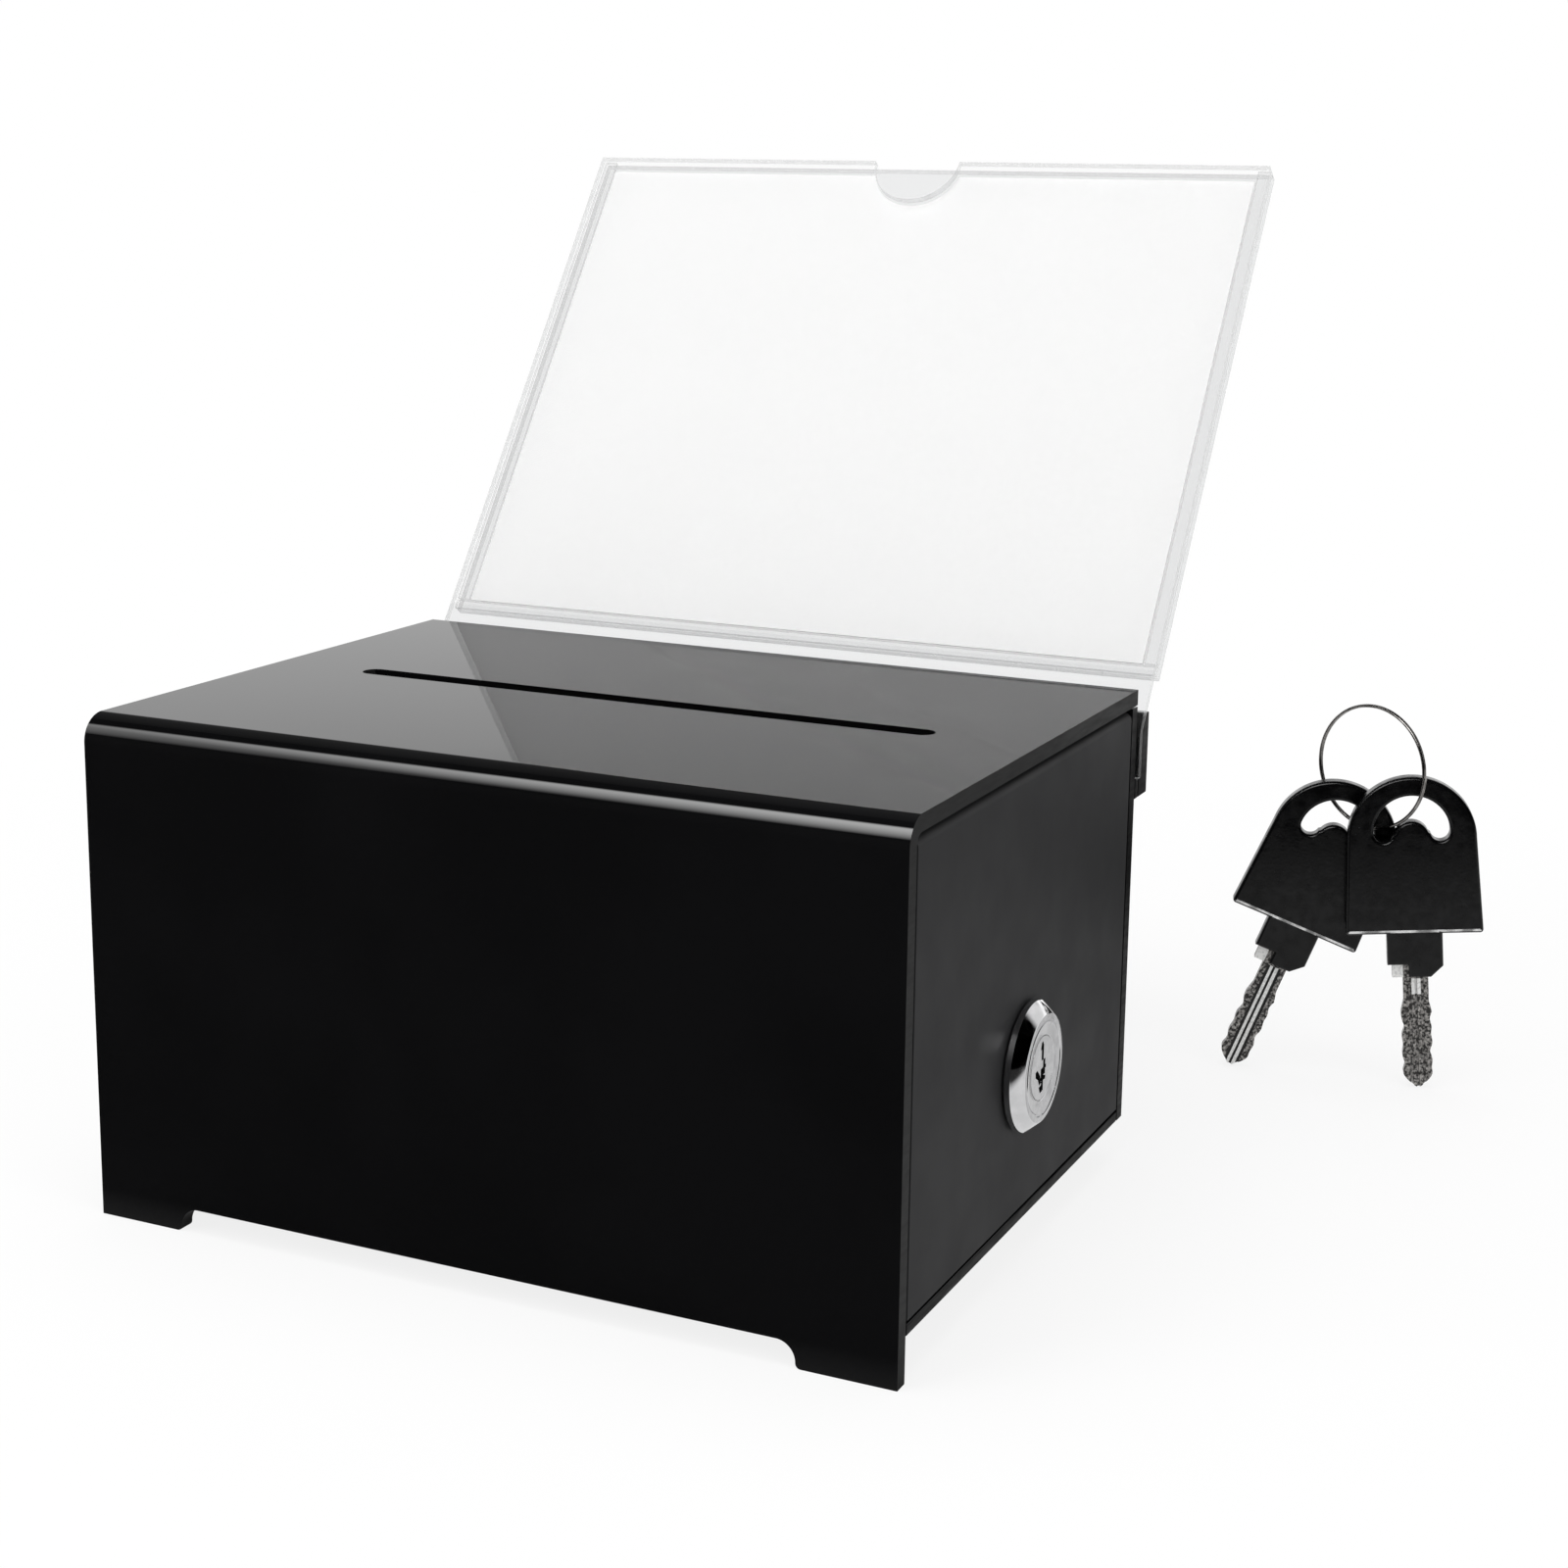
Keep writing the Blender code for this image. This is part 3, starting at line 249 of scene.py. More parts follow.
# What each finish is made of: the two shares of its colour that its tones vary between, its grains of noise as
# scale, detail and stretch, its roughness, and what else sets it apart
SOCKETS = {"refraction": "IOR", "shine": "Specular IOR Level", "metal": "Metallic"}
ACRYLIC_REFRACTION = 1.49
NO_GLOSS = {"refraction": ACRYLIC_REFRACTION, "shine": 0.03}
# The near-black painted into the keyway and key A's grooves as shade
PAINTED_SHADE_COLOUR = (0.004, 0.004, 0.004)
FINISHES = {
    # The door's black acrylic in an even satin, its grey colour a painted reflection of the studio
    "black_acrylic_satin_painted_reflection": dict(
        shares=(1.0, 1.06), grain=(30.0,), roughness=(0.42, 0.5), rough_grain=(90.0, 5.0), **NO_GLOSS
    ),
    # Smooth white card
    "white_card_stock": dict(
        shares=(0.985, 1.0), grain=(900.0, 6.0), roughness=(0.55, 0.7), rough_grain=(300.0,), relief=(0.08, 0.00005)
    ),
    # Bright chrome plate with faint wipe marks
    "bright_chrome_plate": dict(
        shares=(0.9, 1.0), grain=(300.0,), roughness=(0.06, 0.14), rough_grain=(500.0, 6.0), metal=1.0
    ),
    # The bezel's flat face: softer chrome with fine ripples
    "turned_chrome_face": dict(
        shares=(0.82, 1.0), grain=(500.0, 5.0), roughness=(0.14, 0.26), relief=(0.1, 0.0001), metal=1.0
    ),
    # Near-black steel, painted shade for the unlit walls of the keyway and key A's grooves
    "painted_shade_dark_steel": dict(shares=(1.0, 3.0), grain=(800.0,), roughness=(0.4, 0.6)),
    # Zinc plated steel with a cloudy sheen
    "zinc_plated_steel": dict(
        shares=(0.75, 1.0), grain=(220.0, 6.0), roughness=(0.26, 0.42), metal=1.0,
        relief=(0.06, 0.00003), relief_grain=(1800.0,),
    ),
    # Moulded black plastic with a satin gloss and light rubbing
    "key_bow_plastic": dict(
        shares=(1.0, 1.8), grain=(350.0,), roughness=(0.14, 0.3), rough_grain=(500.0, 6.0), refraction=1.35,
        relief=(0.15, 0.0001), relief_grain=(1400.0,),
    ),
    # The bow's lower edges: a pale, shiny band painted in as a highlight
    "key_bow_painted_highlight_edge": dict(
        shares=(0.3, 1.0), grain=(300.0,), roughness=(0.2, 0.35), rough_grain=(500.0,), metal=0.8
    ),
    # Worn nickel, mottled and pitted
    "key_blade_nickel": dict(
        shares=(0.05, 1.0), span=(0.44, 0.68), grain=(1700.0, 6.0), roughness=(0.2, 0.4), relief=(0.35, 0.0002),
        metal=0.55,
    ),
    # The blade's high ridges and stop: pale faces painted in as highlights
    "key_blade_painted_highlight": dict(
        shares=(0.8, 1.0), span=(0.36, 0.48), grain=(1500.0, 5.0), roughness=(0.2, 0.4), metal=0.05
    ),
    # Bright spring steel wire
    "ring_spring_steel": dict(
        shares=(0.5, 1.0), grain=(400.0,), roughness=(0.12, 0.24), rough_grain=(700.0,), metal=1.0
    ),
}


def colour_setting(name, description, default):
    """A colour that a user can change."""
    return FloatVectorProperty(name=name, description=description, default=default, subtype="COLOR", size=3)


def length_setting(name, description, default, least):
    """A length that a user can change."""
    return FloatProperty(name=name, description=description, default=default, min=least, unit="LENGTH")


def level_setting(name, description, default, least=0.0):
    """A level or a share that a user can change."""
    return FloatProperty(name=name, description=description, default=default, min=least)


class SheetLook(bpy.types.PropertyGroup):
    """Colour and edges of the black acrylic sheets."""

    colour: colour_setting("Colour", "Colour of the acrylic", (0.0035, 0.0035, 0.0038))
    top_gloss: level_setting("Top gloss", "Refraction of the top's face", 1.16, 1.0)
    front_gloss: level_setting("Front gloss", "Refraction of the front", 1.36, 1.0)
    edge_radius: length_setting("Edge", "Rounding of the polished edges", 0.00022, 0.00005)
    # The door's grey is painted-in reflected light, not the acrylic's own colour
    side_reflection_colour: colour_setting("Side", "Grey painted on the satin door as its reflection", (0.0325, 0.0325, 0.0335))
    sheet_edge: level_setting("Sheet edge", "Grey of the bent sheet's edges", 0.02)
    wall_edge: level_setting("Wall edge", "Grey of the walls' edges", 0.006)
    bend_steps: IntProperty(name="Bend steps", description="Faces across the bend", default=32, min=8)


class SignLook(bpy.types.PropertyGroup):
    """Tint of the clear sign holder and colour of its card."""

    tint: colour_setting("Tint", "Tint of the front sheet", (0.985, 0.985, 0.985))
    back_tint: colour_setting("Back tint", "Tint of the back sheet", (0.922, 0.924, 0.926))
    edge_tint: colour_setting("Edge tint", "Tint of the cut edges", (0.93, 0.932, 0.932))
    card_colour: colour_setting("Card", "Colour of the blank card", (0.93, 0.93, 0.93))
    edge_radius: length_setting("Edge", "Rounding of the clear edges", 0.00018, 0.00005)


class LockLook(bpy.types.PropertyGroup):
    """Finish of the cam lock."""

    chrome: colour_setting("Chrome", "Colour of the plated faces", (0.74, 0.74, 0.75))
    steel: colour_setting("Steel", "Colour of the inner steel pieces", (0.46, 0.46, 0.47))
    facets: IntProperty(name="Facets", description="Faces round each turned piece", default=96, min=24)
    thread_pitch: length_setting("Thread", "Pitch of the barrel's thread", 0.001, 0.0004)


class KeyLook(bpy.types.PropertyGroup):
    """Finish of the keys and their ring."""

    bow_colour: colour_setting("Bow", "Colour of the plastic bow", (0.0012, 0.0012, 0.0014))
    # The colour of the highlight painted along the bows' lower edges
    edge_highlight_colour: colour_setting("Edge highlight", "Colour of the highlight painted along the bows' lower edges", (0.9, 0.9, 0.9))
    blade_colour: colour_setting("Blade", "Colour of the nickel blade", (0.52, 0.50, 0.48))
    bow_edge: length_setting("Bow edge", "Rounding of the bow's edges", 0.0007, 0.0001)
    blade_edge: length_setting("Blade edge", "Rounding of the blade's edges", 0.00012, 0.00002)
    ring_wire: length_setting("Ring wire", "Radius of the split ring's wire", 0.00034, 0.0001)


class StageLook(bpy.types.PropertyGroup):
    """Level of the lamps and colour of the floor."""

    lamp_level: level_setting("Lamps", "Level of the soft lamps", 0.93)
    world_level: level_setting("World", "Level of the light from all round", 0.42)
    backdrop_level: level_setting("Backdrop", "Backdrop in gloss", 1.35)
    side_level: level_setting("Side", "Right side of the studio in gloss", 0.9)
    reflector_level: level_setting("Reflector", "Card above the front", 9.0)
    floor_white: level_setting("Floor white", "White share near the box", 0.84)
    floor_colour: colour_setting("Floor", "Colour of the floor", (0.88, 0.88, 0.88))


def deselect_all():
    """Leaves object mode with nothing selected."""
    if bpy.context.object and bpy.context.object.mode != "OBJECT":
        bpy.ops.object.mode_set(mode="OBJECT")
    bpy.ops.object.select_all(action="DESELECT")


def make_active(piece):
    """Selects one piece alone."""
    deselect_all()
    piece.select_set(True)
    bpy.context.view_layer.objects.active = piece


def edit_piece(piece, kind="FACE"):
    """Opens a piece in edit mode with nothing selected."""
    make_active(piece)
    bpy.ops.object.mode_set(mode="EDIT")
    bpy.ops.mesh.select_mode(type=kind)
    bpy.ops.mesh.select_all(action="DESELECT")


def select_edges(piece, test):
    """Selects the edges that pass a test, in edit mode."""
    mesh = bmesh.from_edit_mesh(piece.data)
    for edge in mesh.edges:
        edge.select_set(test(edge))
    bmesh.update_edit_mesh(piece.data)


def is_face_rim(edge):
    """True for an edge between a flat face along Y and a side wall."""
    walls = [abs(face.normal.y) for face in edge.link_faces]
    return min(walls) < ACROSS and max(walls) > NEARLY_STRAIGHT


def close_edit():
    """Merges doubles, turns the faces outwards and leaves edit mode."""
    bpy.ops.mesh.select_all(action="SELECT")
    bpy.ops.mesh.remove_doubles(threshold=MERGE)
    bpy.ops.mesh.normals_make_consistent(inside=False)
    bpy.ops.object.mode_set(mode="OBJECT")


def apply_modifier(piece, modifier):
    """Applies one modifier."""
    make_active(piece)
    bpy.ops.object.modifier_apply(modifier=modifier.name)


def apply_place(piece):
    """Puts a piece's place, turn and scale into its mesh."""
    make_active(piece)
    bpy.ops.object.transform_apply(location=True, rotation=True, scale=True)


def shade_smooth(piece, degrees):
    """Shades a piece smooth across its edges up to an angle."""
    make_active(piece)
    bpy.ops.object.shade_smooth_by_angle(angle=math.radians(degrees))


def round_edges(piece, width, degrees=SMOOTH_DEGREES):
    """Rounds the edges over an angle and shades the piece smooth up to it."""
    bevel = piece.modifiers.new("edges", "BEVEL")
    bevel.width = width
    bevel.segments = EDGE_SEGMENTS
    bevel.limit_method = "ANGLE"
    bevel.angle_limit = math.radians(degrees)
    bevel.miter_outer = "MITER_ARC"
    apply_modifier(piece, bevel)
    shade_smooth(piece, degrees)
    weigh_normals(piece)


def weigh_normals(piece):
    """Keeps the broad faces flat to the eye beside their rounded edges."""
    weighted = piece.modifiers.new("normals", "WEIGHTED_NORMAL")
    weighted.keep_sharp = True
    apply_modifier(piece, weighted)


def add_block(name, low, high):
    """A block between two corners."""
    deselect_all()
    bpy.ops.mesh.primitive_cube_add(size=1.0, location=(low + high) / 2, scale=high - low)
    piece = bpy.context.object
    piece.name = name
    apply_place(piece)
    return piece


def add_loop(name, points, fill):
    """A circle of as many points as an outline has, each moved to its place on the outline."""
    deselect_all()
    bpy.ops.mesh.primitive_circle_add(vertices=len(points), radius=1.0, fill_type=fill, location=(0, 0, 0))
    piece = bpy.context.object
    piece.name = name
    for vertex, point in zip(piece.data.vertices, points):
        vertex.co = point
    piece.data.update()
    return piece


def add_outline(name, points, depth):
    """A flat outline of 3-D points, extruded in edit mode along a depth vector."""
    piece = add_loop(name, points, "NGON")
    edit_piece(piece)
    bpy.ops.mesh.select_all(action="SELECT")
    bpy.ops.mesh.extrude_region_move(TRANSFORM_OT_translate={"value": tuple(depth)})
    close_edit()
    return piece


def add_turned(name, centre, profile, steps):
    """Spins a closed profile of (distance along X, radius) points about an axis along X."""
    points = [centre + Vector((along, 0, radius)) for along, radius in profile]
    piece = add_loop(name, points, "NOTHING")
    edit_piece(piece, "VERT")
    bpy.ops.mesh.select_all(action="SELECT")
    bpy.ops.mesh.spin(steps=steps, angle=math.tau, center=centre, axis=(1, 0, 0))
    close_edit()
    return piece


def cut_with(piece, cutter):
    """Cuts a piece with a cutter, which is then removed."""
    modifier = piece.modifiers.new("cut", "BOOLEAN")
    modifier.operation = "DIFFERENCE"
    modifier.solver = "EXACT"
    modifier.object = cutter
    apply_modifier(piece, modifier)
    bpy.data.objects.remove(cutter, do_unlink=True)


def score_across(piece, place, normal, flats_only=False):
    """Splits the faces of a piece along a plane, so that both sides can take their own finish."""
    edit_piece(piece)
    mesh = bmesh.from_edit_mesh(piece.data)
    for face in mesh.faces:
        face.select_set(not flats_only or abs(face.normal.y) > DISHED)
    bmesh.update_edit_mesh(piece.data)
    bpy.ops.mesh.bisect(plane_co=tuple(place), plane_no=tuple(normal))
    bpy.ops.object.mode_set(mode="OBJECT")
    deselect_all()


def arc(centre, radius, start, end, steps):
    """Points on a circle arc as (a, b) pairs, both ends included, angles in degrees."""
    points = []
    for step in range(steps + 1):
        angle = math.radians(start + (end - start) * step / steps)
        points.append((centre[0] + radius * math.cos(angle), centre[1] + radius * math.sin(angle)))
    return points


def copy_node(node, name):
    """A clean copy of a frame node: doubles merged and flat faces joined."""
    piece = bpy.data.objects.new(name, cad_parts[node].data.copy())
    piece.data.materials.clear()
    bpy.context.scene.collection.objects.link(piece)
    edit_piece(piece)
    bpy.ops.mesh.select_all(action="SELECT")
    bpy.ops.mesh.remove_doubles(threshold=MERGE)
    bpy.ops.mesh.dissolve_limited(angle_limit=math.radians(1))
    close_edit()
    return piece


def settle(piece, body, slot, material, *nodes):
    """Gives a piece its finish, its body and the frame nodes that it stands for."""
    apply_place(piece)
    piece.data.materials.clear()
    piece.data.materials.append(material)
    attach(piece, body)
    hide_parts(*nodes)
    return piece


def share_faces(piece, materials, pick):
    """Adds further finishes to a piece, and gives each face the one whose number is picked for it."""
    for material in materials:
        piece.data.materials.append(material)
    for face in piece.data.polygons:
        face.material_index = pick(face)


def start_material(name):
    """A new material with its node tree and object coordinates, or the one that is there with neither."""
    material = bpy.data.materials.get(name)
    if material:
        return material, None, None
    material = bpy.data.materials.new(name)
    material.use_nodes = True
    tree = material.node_tree
    return material, tree, tree.nodes.new("ShaderNodeTexCoord")


def fill(tree, node, inputs):
    """Gives a node's inputs their values or links. Returns the node."""
    for name, value in inputs.items():
        if isinstance(value, bpy.types.NodeSocket):
            tree.links.new(value, node.inputs[name])
        else:
            node.inputs[name].default_value = value
    return node


def add_node(tree, kind, inputs):
    """A new node with its inputs filled."""
    return fill(tree, tree.nodes.new(kind), inputs)


def add_math(tree, operation, *values):
    """The result of a math operation on two or more values, each a socket or a number."""
    result = values[0]
    for value in values[1:]:
        node = add_node(tree, "ShaderNodeMath", {0: result, 1: value})
        node.operation = operation
        result = node.outputs["Value"]
    return result


def add_span(tree, value, source, start, end):
    """A value carried from one range, its source, to another."""
    ends = {"From Min": source[0], "From Max": source[1], "To Min": start, "To Max": end}
    return add_node(tree, "ShaderNodeMapRange", {"Value": value, **ends}).outputs["Result"]


def add_noise(tree, coordinates, scale, detail=4.0, stretch=(1, 1, 1)):
    """The value of a noise on object coordinates, its pattern stretched if asked."""
    mapping = add_node(tree, "ShaderNodeMapping", {"Vector": coordinates.outputs["Object"], "Scale": stretch})
    noise = {"Vector": mapping.outputs["Vector"], "Scale": scale, "Detail": detail}
    return add_node(tree, "ShaderNodeTexNoise", noise).outputs["Fac"]


def times(colour, share):
    """A colour made darker or lighter by a share."""
    return tuple(share * part for part in colour)


def link_tones(tree, noise, colour, shares, span, socket):
    """Gives a socket a colour that varies between two shares of itself, over a span of the noise."""
    ramp = add_node(tree, "ShaderNodeValToRGB", {"Fac": noise})
    for element, position, share in zip(ramp.color_ramp.elements, span, shares):
        element.position = position
        element.color = (*times(colour, share), 1.0)
    tree.links.new(ramp.outputs["Color"], socket)


def link_roughness(tree, noise, low, high):
    """Gives the surface a roughness that wanders between two values."""
    roughness = add_span(tree, noise, (0.35, 0.65), low, high)
    fill(tree, tree.nodes["Principled BSDF"], {"Roughness": roughness})


def link_relief(tree, noise, strength, distance):
    """Gives the surface a relief from a noise."""
    bump = add_node(tree, "ShaderNodeBump", {"Strength": strength, "Distance": distance, "Height": noise})
    fill(tree, tree.nodes["Principled BSDF"], {"Normal": bump.outputs["Normal"]})


def add_finish(
    name, colour, shares, grain, roughness, rough_grain=None, span=(0.4, 0.6), relief=None, relief_grain=None, **values
):
    """A finish whose tone and roughness are spread by noise, with relief if it is asked for.

    The roughness and the relief take the tones' grain unless they are given their own. The values are set on
    the shader.
    """
    material, tree, coordinates = start_material(name)
    if tree:
        shader = fill(tree, tree.nodes["Principled BSDF"], {SOCKETS[key]: value for key, value in values.items()})
        noise = add_noise(tree, coordinates, *grain)
        link_tones(tree, noise, colour, shares, span, shader.inputs["Base Color"])
        link_roughness(tree, add_noise(tree, coordinates, *rough_grain) if rough_grain else noise, *roughness)
        if relief:
            link_relief(tree, add_noise(tree, coordinates, *relief_grain) if relief_grain else noise, *relief)
    return material


def black_acrylic(look, name="black_acrylic_polished", gloss=ACRYLIC_REFRACTION):
    """Polished black acrylic with the faintest haze of handling marks."""
    shares, grain, roughness = (1.0, 1.25), (25.0,), (0.015, 0.05)
    return add_finish(name, look.colour, shares, grain, roughness, rough_grain=(60.0, 6.0), refraction=gloss)


def sawn_acrylic(name, level):
    """The flame polished saw cut of a black sheet, darker than the door."""
    return add_finish(name, (level,) * 3, (0.85, 1.0), (200.0, 4.0, (1, 1, 6)), (0.3, 0.45), **NO_GLOSS)


def listed_finish(name, colour):
    """A finish from the list, in its colour."""
    return add_finish(name, colour, **FINISHES[name])


def let_through(tree):
    """Lays a clear shader under the surface. Returns its colour's socket and that of the surface's share."""
    through = tree.nodes.new("ShaderNodeBsdfTransparent")
    surface = tree.nodes["Principled BSDF"].outputs["BSDF"]
    mix = add_node(tree, "ShaderNodeMixShader", {1: through.outputs["BSDF"], 2: surface})
    fill(tree, tree.nodes["Material Output"], {"Surface": mix.outputs["Shader"]})
    return through.inputs["Color"], mix.inputs["Fac"]


def clear_acrylic(name, tint):
    """Clear acrylic: light passes straight through its tint, under a polished surface."""
    material, tree, coordinates = start_material(name)
    if tree:
        surface = {"Base Color": (0.9, 0.9, 0.9, 1.0), "IOR": ACRYLIC_REFRACTION}
        fill(tree, tree.nodes["Principled BSDF"], surface)
        link_roughness(tree, add_noise(tree, coordinates, 80.0, 5.0), 0.01, 0.04)
        colour, share = let_through(tree)
        link_tones(tree, add_noise(tree, coordinates, 40.0), tint, (0.995, 1.0), (0.0, 1.0), colour)
        gloss = add_node(tree, "ShaderNodeFresnel", {"IOR": 1.25})
        tree.links.new(gloss.outputs["Fac"], share)
    return material


def frosted_edge(look):
    """The saw cut edges of the clear sheets: mostly clear, with a soft pale frost."""
    name = "clear_acrylic_cut_edge"
    if name in bpy.data.materials:
        return bpy.data.materials[name]
    material = add_finish(name, look.edge_tint, (0.9, 1.0), grain=(250.0,), roughness=(0.25, 0.45))
    colour, share = let_through(material.node_tree)
    colour.default_value = (*look.edge_tint, 1.0)
    share.default_value = 0.3
    return material


def model_front_top_sheet(look):
    """The front panel, its bend and the top in one section, extruded across the box and then cut."""
    bend_y = BEND_RADIUS
    bend_z = SHEET_HIGH.z - BEND_RADIUS
    depth = SHEET_HIGH.y - SHEET_LOW.y
    section = [(0, 0)]
    section += arc((bend_y, bend_z), BEND_RADIUS, 180, 90, look.bend_steps)
    section += [(depth, SHEET_HIGH.z), (depth, SHEET_HIGH.z - SHEET_THICKNESS)]
    section += arc((bend_y, bend_z), BEND_RADIUS - SHEET_THICKNESS, 90, 180, look.bend_steps)
    section += [(SHEET_THICKNESS, 0)]
    points = [Vector((SHEET_LOW.x, SHEET_LOW.y + y, z)) for y, z in section]
    piece = add_outline("front_top_sheet_bent", points, Vector((SHEET_HIGH.x - SHEET_LOW.x, 0, 0)))
    for cutter in (arch_cutter(), slot_cutter(), pin_cutter()):
        cut_with(piece, cutter)
    return piece


def arch_cutter():
    """The opening between the front feet: a round tip on each foot, then a hollow corner."""
    half = (SHEET_HIGH.x - SHEET_LOW.x) / 2 - FOOT_WIDTH
    hollow = ARCH_RISE - FOOT_TIP_RADIUS
    left = [(-half - FOOT_TIP_RADIUS, -OVERRUN)]
    left += arc((-half - FOOT_TIP_RADIUS, FOOT_TIP_RADIUS), FOOT_TIP_RADIUS, -90, 0, FOOT_TIP_STEPS)
    left += arc((-half + hollow, FOOT_TIP_RADIUS), hollow, 180, 90, FOOT_HOLLOW_STEPS)[1:]
    outline = left + [(-x, z) for x, z in reversed(left)]
    points = [ZERO + Vector((x, -OVERRUN, z)) for x, z in outline]
    return add_outline("arch_cutter", points, Vector((0, SHEET_THICKNESS + 2 * OVERRUN, 0)))


def slot_cutter():
    """The bill slot with round ends."""
    radius = SLOT_WIDTH / 2
    reach = SLOT_LENGTH / 2 - radius
    outline = arc((reach, SLOT_CENTRE_Y), radius, -90, 90, SLOT_END_STEPS)
    outline += arc((-reach, SLOT_CENTRE_Y), radius, 90, 270, SLOT_END_STEPS)
    low = SHEET_HIGH.z - SHEET_THICKNESS - OVERRUN
    points = [Vector((ZERO.x + x, ZERO.y + y, low)) for x, y in outline]
    return add_outline("slot_cutter", points, Vector((0, 0, SHEET_THICKNESS + 2 * OVERRUN)))


def pin_cutter():
    """The blind hole for the front hinge pin."""
    low, high = node_box("hinge_pin_front")
    centre = (low + high) / 2
    start = low.y - PIN_HOLE_RADIUS / 4
    rim = arc((centre.x, centre.z), PIN_HOLE_RADIUS, 0, 360, PIN_HOLE_STEPS)[:-1]
    return add_outline("pin_cutter", [Vector((x, start, z)) for x, z in rim], Vector((0, DOOR_LOW.y - start, 0)))


def thread_profile(start, end, crest, root, pitch):
    """Crests and roots along a barrel, from one distance to another."""
    count = max(1, int(abs(end - start) / pitch))
    step = (end - start) / count
    points = []
    for turn in range(count):
        points.append((start + step * turn, root))
        points.append((start + step * (turn + 0.5), crest))
    points.append((end, root))
    return points


def model_lock_housing(look):
    """The coned bezel with a fine groove in its face, and the threaded barrel behind it."""
    centre = Vector((DOOR_HIGH.x, (LOCK_LOW.y + LOCK_HIGH.y) / 2, (LOCK_LOW.z + LOCK_HIGH.z) / 2))
    rim = (LOCK_HIGH.y - LOCK_LOW.y) / 2
    face = LOCK_HIGH.x - DOOR_HIGH.x
    end = LOCK_LOW.x - DOOR_HIGH.x
    bore = (PLUG_HIGH.y - PLUG_LOW.y) / 2 + PLUG_CLEARANCE
    profile = [(along, rim - less) for along, less in BEZEL_RIM]
    profile += [(face - back, radius) for back, radius in BEZEL_FACE]
    profile += [(face - back, bore + more) for back, more in BEZEL_DISH]
    profile += [(end, bore), (end, BARREL_END_RADIUS)]
    profile += thread_profile(end + THREAD_MARGIN, -THREAD_MARGIN, BARREL_RADIUS, THREAD_ROOT, look.thread_pitch)
    profile += [(BEZEL_FOOT, BARREL_RADIUS)]
    piece = add_turned("lock_housing_turned", centre, profile, look.facets)
    for side in (1, -1):
        near, far = side * BARREL_FLAT, side * FLAT_CUT_REACH
        low = centre + Vector((end - OVERRUN, -FLAT_CUT_HALF_WIDTH, min(near, far)))
        high = centre + Vector((0, FLAT_CUT_HALF_WIDTH, max(near, far)))
        cut_with(piece, add_block("flat_cutter", low, high))
    shade_smooth(piece, BEZEL_SMOOTH_DEGREES)
    return piece


def plug_centre():
    """The middle of the plug's front face."""
    return Vector((PLUG_HIGH.x, (PLUG_LOW.y + PLUG_HIGH.y) / 2, (PLUG_LOW.z + PLUG_HIGH.z) / 2))


def model_lock_plug():
    """The plug, with the keyway's side wards cut as a hook and a slant."""
    piece = copy_node("lock_plug", "lock_plug_plated")
    for ward in KEYWAY_WARDS_MM:
        points = [plug_centre() + Vector((-WARD_DEPTH, y / 1000, z / 1000)) for y, z in ward]
        cut_with(piece, add_outline("ward_cutter", points, Vector((WARD_DEPTH + OVERRUN, 0, 0))))
    round_edges(piece, PLUG_EDGE)
    return piece


def is_in_keyway(place):
    """True for a face inside the keyway, behind the plug's front."""
    offset = place - plug_centre()
    return -KEYWAY_DEPTH < offset.x < -KEYWAY_LIP and math.hypot(offset.y, offset.z) < KEYWAY_REACH


def blade_half_width(along, cuts):
    """Half the blade's width at a distance from the tip, less its smooth cuts."""
    if along > BLADE_BODY_TOP:
        share = min(1.0, (along - BLADE_BODY_TOP) / BLADE_TAPER)
        return BLADE_HALF_WIDTH + (BLADE_NECK_HALF_WIDTH - BLADE_HALF_WIDTH) * share
    lead = min(1.0, along / BLADE_POINT_LENGTH)
    half = BLADE_POINT_HALF_WIDTH + (BLADE_HALF_WIDTH - BLADE_POINT_HALF_WIDTH) * math.sin(lead * math.pi / 2)
    return half - sum(depth * math.exp(-(((along - place) / CUT_HALF_LENGTH) ** 2)) for place, depth in cuts)


def blade_outline():
    """The blade from its tip to its tang, with a stop on the left below the bow."""
    places = [STOP_LOW * step / BLADE_STEPS for step in range(BLADE_STEPS + 1)]
    right = [(blade_half_width(place, RIGHT_CUTS), place) for place in places]
    right += [(BLADE_NECK_HALF_WIDTH, BLADE_TOP)]
    left = [(-blade_half_width(place, LEFT_CUTS), place) for place in places]
    left += [(-STOP_HALF_WIDTH, STOP_LOW), (-STOP_HALF_WIDTH, STOP_HIGH)]
    left += [(-BLADE_NECK_HALF_WIDTH, STOP_HIGH), (-BLADE_NECK_HALF_WIDTH, BLADE_TOP)]
    return right + left[::-1]


def key_stand(letter):
    """The place and turn of one key, its tip at the origin and its length along Z."""
    shift, depth, tilt = KEY_STANDS[letter]
    lift = KEY_FLOOR_GAP + BLADE_TIP_HALF_WIDTH * math.sin(math.radians(abs(tilt)))
    stand = Matrix.Translation(ZERO + KEY_SET_PLACE)
    stand @= Matrix.Rotation(math.radians(KEY_SET_YAW_DEGREES), 4, "Z")
    stand @= Matrix.Translation(Vector((shift, depth, lift)))
    return stand @ Matrix.Rotation(math.radians(tilt), 4, "Y")


